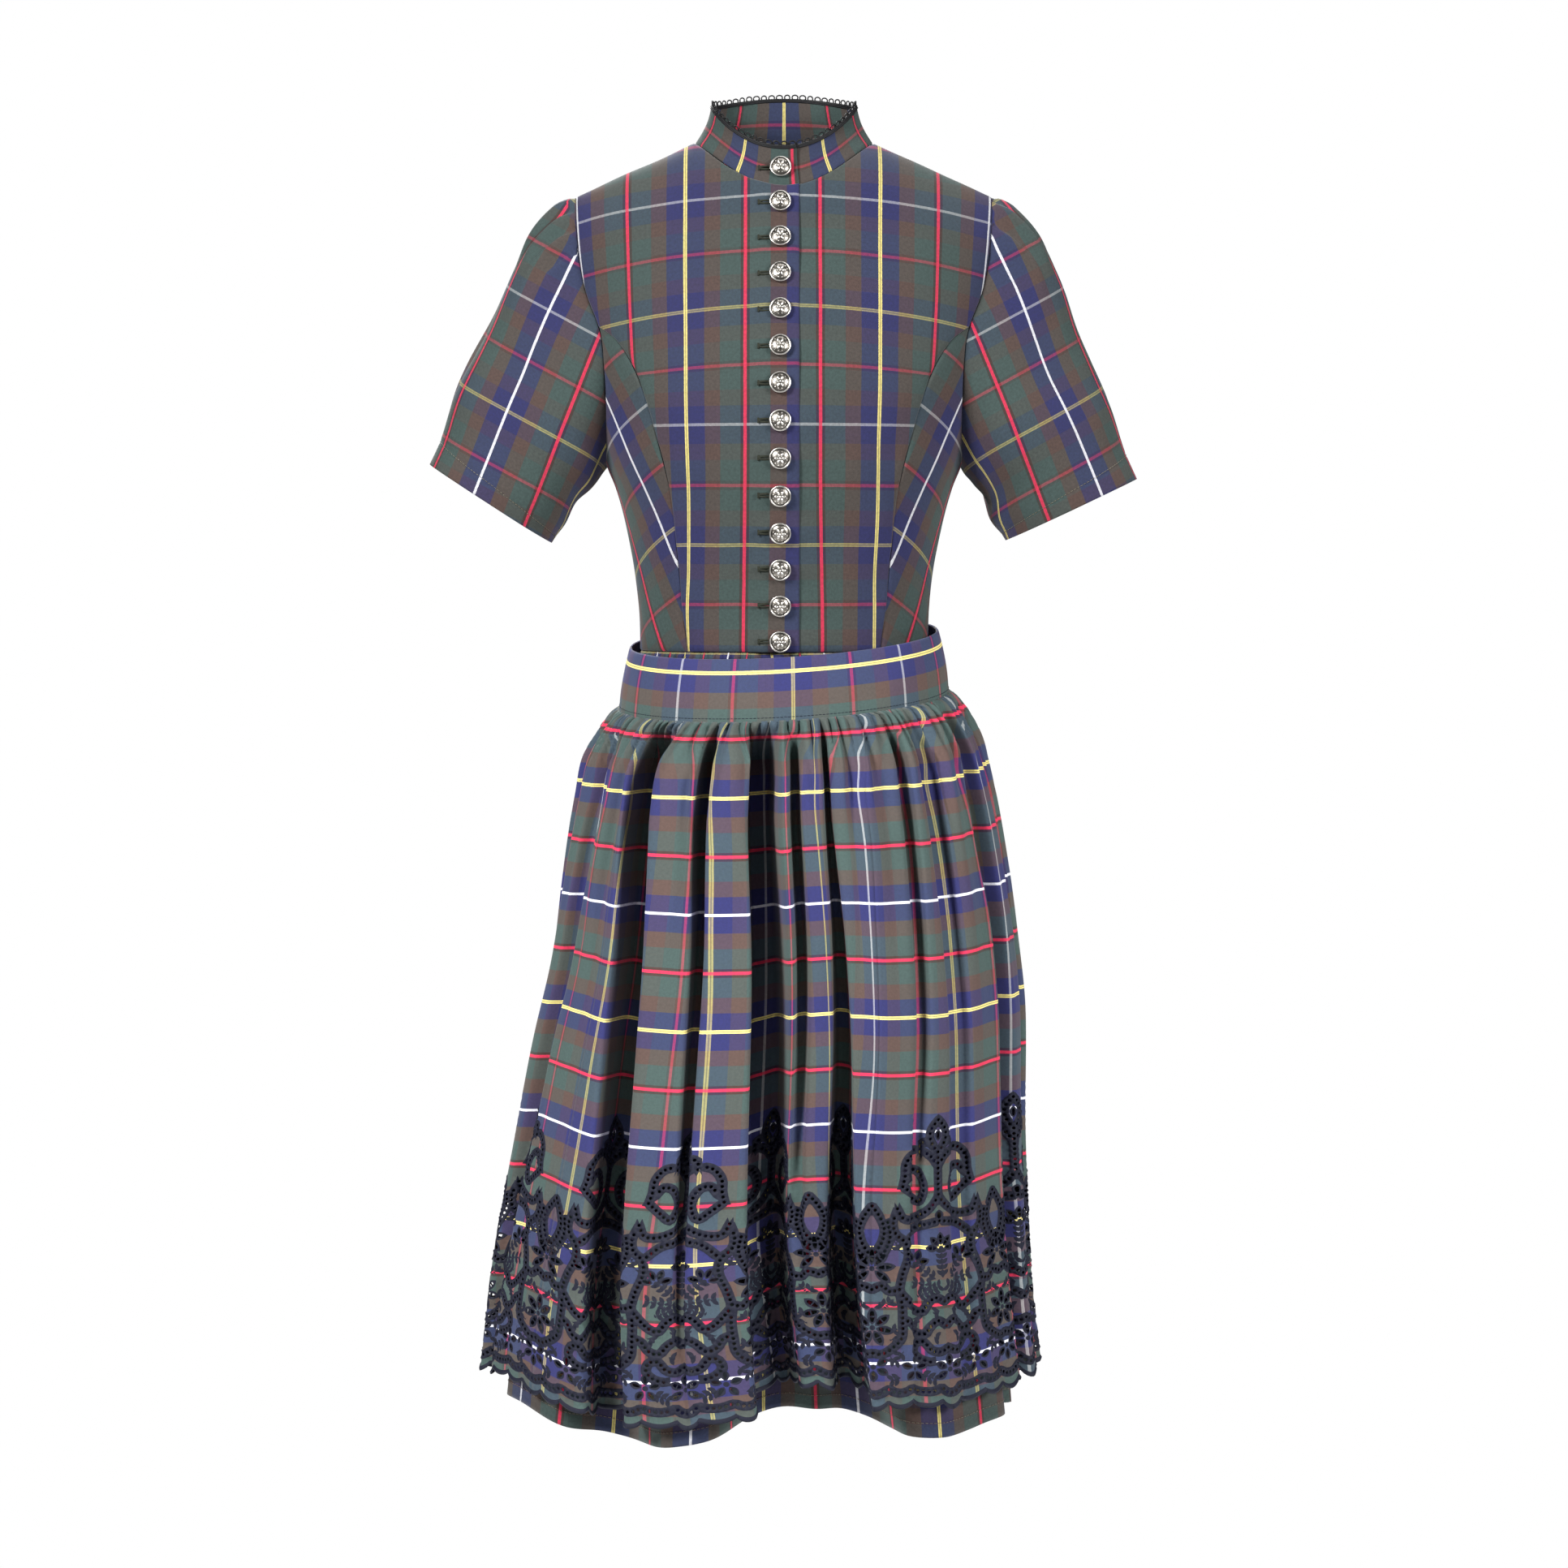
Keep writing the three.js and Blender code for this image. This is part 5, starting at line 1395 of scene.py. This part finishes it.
def stitch_row(threads, line, normals, stitch, gap, radius):
    """Running stitches along a line."""
    at = lengths(line)
    place = 0.0
    while place + stitch < at[-1]:
        s = np.linspace(place, place + stitch, 3)
        path, up = points_at(s, at, line), points_at(s, at, normals)
        path[1] += up[1] * 0.15
        threads.add(path, radius, sides=4, up=up)
        place += stitch + gap


# ---------------------------------------------------------------- materials

NAVY = (0.027, 0.029, 0.125)
BROWN = (0.100, 0.062, 0.052)
GREEN = (0.057, 0.092, 0.085)
DARK_BROWN = (0.055, 0.030, 0.026)
YELLOW = (0.95, 0.80, 0.26)
RED = (0.74, 0.035, 0.095)
WHITE = (0.86, 0.86, 0.92)
HALF_SETT = 100
# Bands of half the pattern, from the yellow line to the white one: where each starts in millimetres, its colour,
# and how much it shows over the threads that cross it.
SETT = [
    (0, (0.45, 0.38, 0.15), 0.9),
    (0.2, YELLOW, 1),
    (1.45, NAVY, 0),
    (16, BROWN, 0),
    (29, GREEN, 0),
    (46.4, DARK_BROWN, 0),
    (48.7, RED, 1),
    (51.3, DARK_BROWN, 0),
    (53.6, GREEN, 0),
    (71, BROWN, 0),
    (84, NAVY, 0),
    (98.55, WHITE, 1),
    (99.8, (0.40, 0.40, 0.45), 0.9),
]


class Nodes:
    """Shorthand for building a node tree."""

    def __init__(self, tree):
        self.tree = tree

    def add(self, kind, inputs=None, **settings):
        node = self.tree.nodes.new(kind)
        for key, value in settings.items():
            setattr(node, key, value)
        for key, value in (inputs or {}).items():
            self.set(node.inputs[key], value)
        return node

    def set(self, socket, value):
        if isinstance(value, bpy.types.NodeSocket):
            self.tree.links.new(value, socket)
        else:
            socket.default_value = value

    def math(self, operation, *values, clamp=False):
        node = self.tree.nodes.new("ShaderNodeMath")
        node.operation = operation
        node.use_clamp = clamp
        for socket, value in zip(node.inputs, values):
            self.set(socket, value)
        return node.outputs[0]

    def mix(self, factor, a, b, blend="MIX"):
        node = self.tree.nodes.new("ShaderNodeMix")
        node.data_type = "RGBA"
        node.blend_type = blend
        self.set(node.inputs["Factor"], factor)
        self.set(node.inputs["A"], a)
        self.set(node.inputs["B"], b)
        return node.outputs["Result"]

    def bump(self, shader, height, strength, distance):
        node = self.add("ShaderNodeBump", {"Height": height, "Strength": strength, "Distance": distance})
        self.set(shader.inputs["Normal"], node.outputs[0])


def stripes(nodes, coordinate):
    """Colour and accent of the pattern's stripes across one coordinate, in metres."""
    folded = nodes.math("PINGPONG", coordinate, HALF_SETT / 1000)
    share = nodes.math("MULTIPLY", folded, 1000 / HALF_SETT)
    ramp = nodes.add("ShaderNodeValToRGB")
    ramp.color_ramp.interpolation = "CONSTANT"
    elements = ramp.color_ramp.elements
    while len(elements) > 1:
        elements.remove(elements[-1])
    for i, (start, colour, accent) in enumerate(SETT):
        element = elements[0] if i == 0 else elements.new(start / HALF_SETT)
        element.position = start / HALF_SETT
        element.color = (*colour, accent)
    nodes.set(ramp.inputs[0], share)
    return ramp.outputs["Color"], ramp.outputs["Alpha"]


def new_material(name):
    """A material, its nodes and its shader."""
    material = bpy.data.materials.new(name)
    material.use_nodes = True
    tree = material.node_tree
    return material, Nodes(tree), tree.nodes["Principled BSDF"]


def tartan(name, brightness=1.0):
    """Woven tartan on the cloth map: warp across x, weft across y."""
    material, nodes, shader = new_material(name)
    uv = nodes.add("ShaderNodeUVMap", uv_map="cloth").outputs[0]
    split = nodes.add("ShaderNodeSeparateXYZ", {"Vector": uv})
    x, y = split.outputs["X"], split.outputs["Y"]
    warp, warp_accent = stripes(nodes, x)
    weft = stripes(nodes, y)[0]
    # Twill lines on the cloth.
    diagonal = nodes.math("ADD", x, y)
    twill = nodes.math("SINE", nodes.math("MULTIPLY", diagonal, 2 * math.pi / 0.0011))
    slub = nodes.add("ShaderNodeTexNoise", {"Vector": uv, "Scale": 420.0, "Detail": 2.0, "Roughness": 0.6})
    stretch = nodes.add("ShaderNodeMapping", {"Vector": uv, "Scale": (2600.0, 160.0, 1.0)})
    thread = nodes.add("ShaderNodeTexNoise", {"Vector": stretch.outputs[0], "Scale": 1.0, "Detail": 1.0})
    lean = nodes.math("MULTIPLY_ADD", twill, 0.05, 0.7)
    lean = nodes.math("MULTIPLY_ADD", nodes.math("SUBTRACT", thread.outputs["Fac"], 0.5), 0.18, lean)
    lean = nodes.math("MULTIPLY_ADD", warp_accent, 0.24, lean, clamp=True)
    colour = nodes.mix(lean, weft, warp)
    fleck = nodes.math("MULTIPLY_ADD", nodes.math("SUBTRACT", slub.outputs["Fac"], 0.5), 0.5, brightness)
    fleck = nodes.math("MULTIPLY_ADD", twill, 0.03, fleck)
    grey = nodes.add("ShaderNodeCombineColor", {"Red": fleck, "Green": fleck, "Blue": fleck}).outputs[0]
    colour = nodes.mix(1.0, colour, grey, "MULTIPLY")
    nodes.set(shader.inputs["Base Color"], colour)
    rough = nodes.math("MULTIPLY_ADD", slub.outputs["Fac"], 0.2, 0.72)
    nodes.set(shader.inputs["Roughness"], rough)
    shader.inputs["Specular IOR Level"].default_value = 0.25
    shader.inputs["Sheen Weight"].default_value = 0.12
    shader.inputs["Sheen Roughness"].default_value = 0.5
    height = nodes.math("ADD", nodes.math("MULTIPLY", twill, 0.3), thread.outputs["Fac"])
    nodes.bump(shader, height, 0.25, 0.0003)
    return material


def thread_material(name, colour, roughness=0.5, sheen=0.2):
    """Satin stitched thread with fine lines."""
    material, nodes, shader = new_material(name)
    place = nodes.add("ShaderNodeTexCoord").outputs["Object"]
    fine = nodes.add("ShaderNodeTexNoise", {"Vector": place, "Scale": 1900.0, "Detail": 2.0})
    broad = nodes.add("ShaderNodeTexNoise", {"Vector": place, "Scale": 160.0, "Detail": 1.0})
    light = tuple(min(1, c * 1.9 + 0.004) for c in colour)
    dark = tuple(c * 0.6 for c in colour)
    parts = [nodes.math("MULTIPLY", noise.outputs["Fac"], part) for noise, part in ((fine, 0.6), (broad, 0.4))]
    shade = nodes.math("ADD", *parts)
    nodes.set(shader.inputs["Base Color"], nodes.mix(shade, (*dark, 1), (*light, 1)))
    shader.inputs["Roughness"].default_value = roughness
    shader.inputs["Sheen Weight"].default_value = sheen
    shader.inputs["Specular IOR Level"].default_value = 0.25
    nodes.bump(shader, fine.outputs["Fac"], 0.5, 0.0004)
    return material


def antique_silver(name, dark, light):
    """Worn silver, darker in its hollows."""
    material, nodes, shader = new_material(name)
    place = nodes.add("ShaderNodeTexCoord").outputs["Object"]
    cloud = nodes.add("ShaderNodeTexNoise", {"Vector": place, "Scale": 420.0, "Detail": 3.0})
    hollow = nodes.add("ShaderNodeNewGeometry").outputs["Pointiness"]
    edge = nodes.math("MULTIPLY_ADD", hollow, 9.0, -4.0, clamp=True)
    wear = nodes.math("MULTIPLY", edge, nodes.math("MULTIPLY_ADD", cloud.outputs["Fac"], 0.6, 0.6), clamp=True)
    nodes.set(shader.inputs["Base Color"], nodes.mix(wear, (*dark, 1), (*light, 1)))
    shader.inputs["Metallic"].default_value = 1.0
    nodes.set(shader.inputs["Roughness"], nodes.math("MULTIPLY_ADD", cloud.outputs["Fac"], 0.25, 0.2))
    nodes.bump(shader, cloud.outputs["Fac"], 0.15, 0.0003)
    return material


MATERIALS = {}


def make_materials():
    MATERIALS["bodice"] = tartan("bodice_tartan", 0.58)
    MATERIALS["apron"] = tartan("apron_tartan")
    MATERIALS["embroidery"] = thread_material("navy_embroidery", (0.0065, 0.0075, 0.018), 0.65, 0.0)
    MATERIALS["edging"] = thread_material("black_edging", (0.004, 0.004, 0.005), 0.6, 0.0)
    MATERIALS["buttonhole"] = thread_material("olive_thread", (0.014, 0.016, 0.010), 0.8, 0.0)
    MATERIALS["stitch"] = thread_material("brown_stitches", (0.10, 0.085, 0.055))
    MATERIALS["silver"] = antique_silver("antique_silver", (0.22, 0.21, 0.19), (0.85, 0.82, 0.77))
    MATERIALS["tarnish"] = antique_silver("tarnished_silver", (0.035, 0.032, 0.028), (0.40, 0.37, 0.33))


# ---------------------------------------------------------------- add-on

CAMERA_AWAY = 3.6
HALF_VIEW = 0.666  # metres seen to each side of the dress
BACKDROP_GLOW = 0.08
# Name, place and size in metres, power in watts, spread in degrees. Narrow lamps leave the folds' valleys dark.
LAMPS = [
    ("key", (-2.6, -2.7, 1.4), 1.2, 31, 60),
    ("fill", (2.7, -2.6, 0.7), 1.3, 20, 60),
    ("top", (0.2, 0.6, 2.2), 1.6, 5, 60),
    ("back", (-0.8, 3.0, 1.3), 1.6, 34, 90),
]


def stand(name, data, place, target):
    """Puts a lamp or camera in its place, facing a point."""
    obj = bpy.data.objects.new(name, data)
    obj.location = place
    obj.rotation_euler = (Vector(target) - obj.location).to_track_quat("-Z", "Y").to_euler()
    bpy.context.scene.collection.objects.link(obj)
    return obj


class DirndlSettings(bpy.types.PropertyGroup):
    light: bpy.props.FloatProperty(
        name="Light", description="Strength of the studio light", default=1.0, min=0.1, max=4, subtype="FACTOR"
    )
    pale: bpy.props.FloatVectorProperty(
        name="Backdrop", description="Colour of the floor", default=(0.93, 0.93, 0.93), subtype="COLOR", size=3
    )


class DIRNDL_OT_stage(bpy.types.Operator):
    """Sets the pale floor, the soft lights and the camera"""

    bl_idname = "dirndl.stage"
    bl_label = "Set the stage"

    def execute(self, context):
        settings = context.scene.dirndl
        bpy.ops.object.select_all(action="DESELECT")
        bpy.ops.mesh.primitive_plane_add(size=1, location=(0, -2.2, -1.42))
        floor = context.active_object
        floor.name = "floor"
        floor.scale = (9, 6, 1)
        material, _, shader = new_material("pale_floor")
        shader.inputs["Base Color"].default_value = (*settings.pale, 1)
        shader.inputs["Roughness"].default_value = 0.9
        floor.data.materials.append(material)

        # The backdrop is white where it is seen, and lights the cloth more softly than it looks.
        glow = BACKDROP_GLOW * settings.light
        world = bpy.data.worlds.new("studio")
        world.use_nodes = True
        tree = Nodes(world.node_tree)
        seen = tree.add("ShaderNodeLightPath").outputs["Is Camera Ray"]
        strength = tree.math("MULTIPLY_ADD", seen, 1.0 - glow, glow)
        background = world.node_tree.nodes["Background"]
        background.inputs[0].default_value = (1, 1, 1, 1)
        tree.set(background.inputs[1], strength)
        context.scene.world = world
        for name, place, size, power, spread in LAMPS:
            lamp = bpy.data.lights.new(name, "AREA")
            lamp.shape = "SQUARE"
            lamp.size = size
            lamp.energy = power * settings.light
            lamp.spread = math.radians(spread)
            stand(name, lamp, place, (0, 0, -0.55))

        camera = bpy.data.cameras.new("camera")
        camera.sensor_width = 36
        camera.lens = camera.sensor_width / 2 / (HALF_VIEW / CAMERA_AWAY)
        context.scene.camera = stand("camera", camera, (0, -CAMERA_AWAY, -0.35), (0, 0, -0.54))
        context.scene.view_settings.view_transform = "Standard"
        return {"FINISHED"}


class DIRNDL_OT_bodice(bpy.types.Operator):
    """Sews the fronts, side fronts and back"""

    bl_idname = "dirndl.bodice"
    bl_label = "Sew the bodice"

    def execute(self, context):
        cloth = MATERIALS["bodice"]
        for side, word in ((-1, "right"), (1, "left")):
            front = finish_piece(front_panel(side), "bodice_cloth", cloth, replaces=["front_" + word])
            side_front = finish_piece(side_front_panel(side), "bodice_cloth", cloth, replaces=["side_front_" + word])
        back = finish_piece(back_panel(), "bodice_cloth", cloth, replaces=["back"])
        return {"FINISHED"}


class DIRNDL_OT_collar(bpy.types.Operator):
    """Sews the stand collar and its looped edging"""

    bl_idname = "dirndl.collar"
    bl_label = "Sew the collar"

    def execute(self, context):
        piece = finish_piece(collar(), "bodice_cloth", MATERIALS["bodice"], replaces=["collar"])
        finish_piece(collar_edging(), "trim_lace", MATERIALS["edging"], replaces=["collar_trim"])
        return {"FINISHED"}


class DIRNDL_OT_sleeves(bpy.types.Operator):
    """Sews the two gathered sleeves"""

    bl_idname = "dirndl.sleeves"
    bl_label = "Sew the sleeves"

    def execute(self, context):
        threads = Threads()
        for spec in SLEEVES:
            obj, (line, normals) = sleeve(spec)
            finish_piece(obj, "bodice_cloth", MATERIALS["bodice"], replaces=[spec["name"]])
            stitch_row(threads, line, normals, 2.2, 1.0, 0.22)
        finish_piece(threads.build("sleeve_hem_stitches"), "bodice_cloth", MATERIALS["stitch"])
        return {"FINISHED"}


class DIRNDL_OT_skirt(bpy.types.Operator):
    """Hangs the gathered skirt"""

    bl_idname = "dirndl.skirt"
    bl_label = "Hang the skirt"

    def execute(self, context):
        obj, sheet = skirt_cloth()
        finish_piece(obj, "bodice_cloth", MATERIALS["bodice"], replaces=["skirt"])
        threads = Threads()
        u = np.linspace(0, SKIRT_CLOTH, 900)
        p, n = sheet.lay(u, np.full_like(u, SKIRT_STITCHES))
        stitch_row(threads, p + n * 0.25, n, 2.4, 1.4, 0.24)
        finish_piece(threads.build("skirt_hem_stitches"), "bodice_cloth", MATERIALS["stitch"])
        return {"FINISHED"}


class DIRNDL_OT_apron(bpy.types.Operator):
    """Hangs the apron with its cutwork border from its band"""

    bl_idname = "dirndl.apron"
    bl_label = "Hang the apron"

    def execute(self, context):
        band, (line, normals) = apron_band()
        finish_piece(band, "apron_cloth", MATERIALS["apron"], replaces=["apron_band"])
        threads = Threads()
        stitch_row(threads, line, normals, 2.2, 1.0, 0.22)
        finish_piece(threads.build("band_stitches"), "apron_cloth", MATERIALS["embroidery"])
        sheet = HangingSheet(apron_point, APRON_REACH, APRON_CLOTH, APRON_DROP, 2, 3, overshoot=12, shift=APRON_SHIFT)
        for piece, repeats in apron_cloth(sheet):
            finish_piece(piece, "apron_cloth", MATERIALS["apron"], MATERIALS["embroidery"], replaces=["apron"])
        return {"FINISHED"}


class DIRNDL_OT_buttons(bpy.types.Operator):
    """Sews on the fourteen buttons and works their buttonholes"""

    bl_idname = "dirndl.buttons"
    bl_label = "Sew on the buttons"

    def execute(self, context):
        seats = button_seats()
        pattern = button_body()
        for i, (place, normal) in enumerate(seats):
            copy = bpy.data.objects.new("silver_button_%02d" % i, pattern.data.copy())
            context.scene.collection.objects.link(copy)
            copy.data.transform(facing(place, normal))
            finish_piece(copy, "button_metal", MATERIALS["silver"], MATERIALS["tarnish"], replaces=["button_%02d" % i])
        bpy.data.objects.remove(pattern)
        finish_piece(buttonholes(seats), "bodice_cloth", MATERIALS["buttonhole"])
        return {"FINISHED"}


class DIRNDL_PT_panel(bpy.types.Panel):
    bl_label = "Dirndl"
    bl_idname = "DIRNDL_PT_panel"
    bl_space_type = "VIEW_3D"
    bl_region_type = "UI"
    bl_category = "Dirndl"

    def draw(self, context):
        settings = context.scene.dirndl
        self.layout.prop(settings, "light")
        self.layout.prop(settings, "pale")
        for operator in OPERATORS:
            self.layout.operator(operator.bl_idname)


OPERATORS = [
    DIRNDL_OT_stage,
    DIRNDL_OT_bodice,
    DIRNDL_OT_collar,
    DIRNDL_OT_sleeves,
    DIRNDL_OT_skirt,
    DIRNDL_OT_apron,
    DIRNDL_OT_buttons,
]
CLASSES = [DirndlSettings, *OPERATORS, DIRNDL_PT_panel]


def register():
    for cls in CLASSES:
        bpy.utils.register_class(cls)
    bpy.types.Scene.dirndl = bpy.props.PointerProperty(type=DirndlSettings)


def unregister():
    del bpy.types.Scene.dirndl
    for cls in reversed(CLASSES):
        bpy.utils.unregister_class(cls)


def main():
    register()
    make_materials()
    bpy.ops.dirndl.stage()
    bpy.ops.dirndl.bodice()
    bpy.ops.dirndl.collar()
    bpy.ops.dirndl.sleeves()
    bpy.ops.dirndl.skirt()
    bpy.ops.dirndl.apron()
    bpy.ops.dirndl.buttons()


if __name__ == "__main__":
    main()
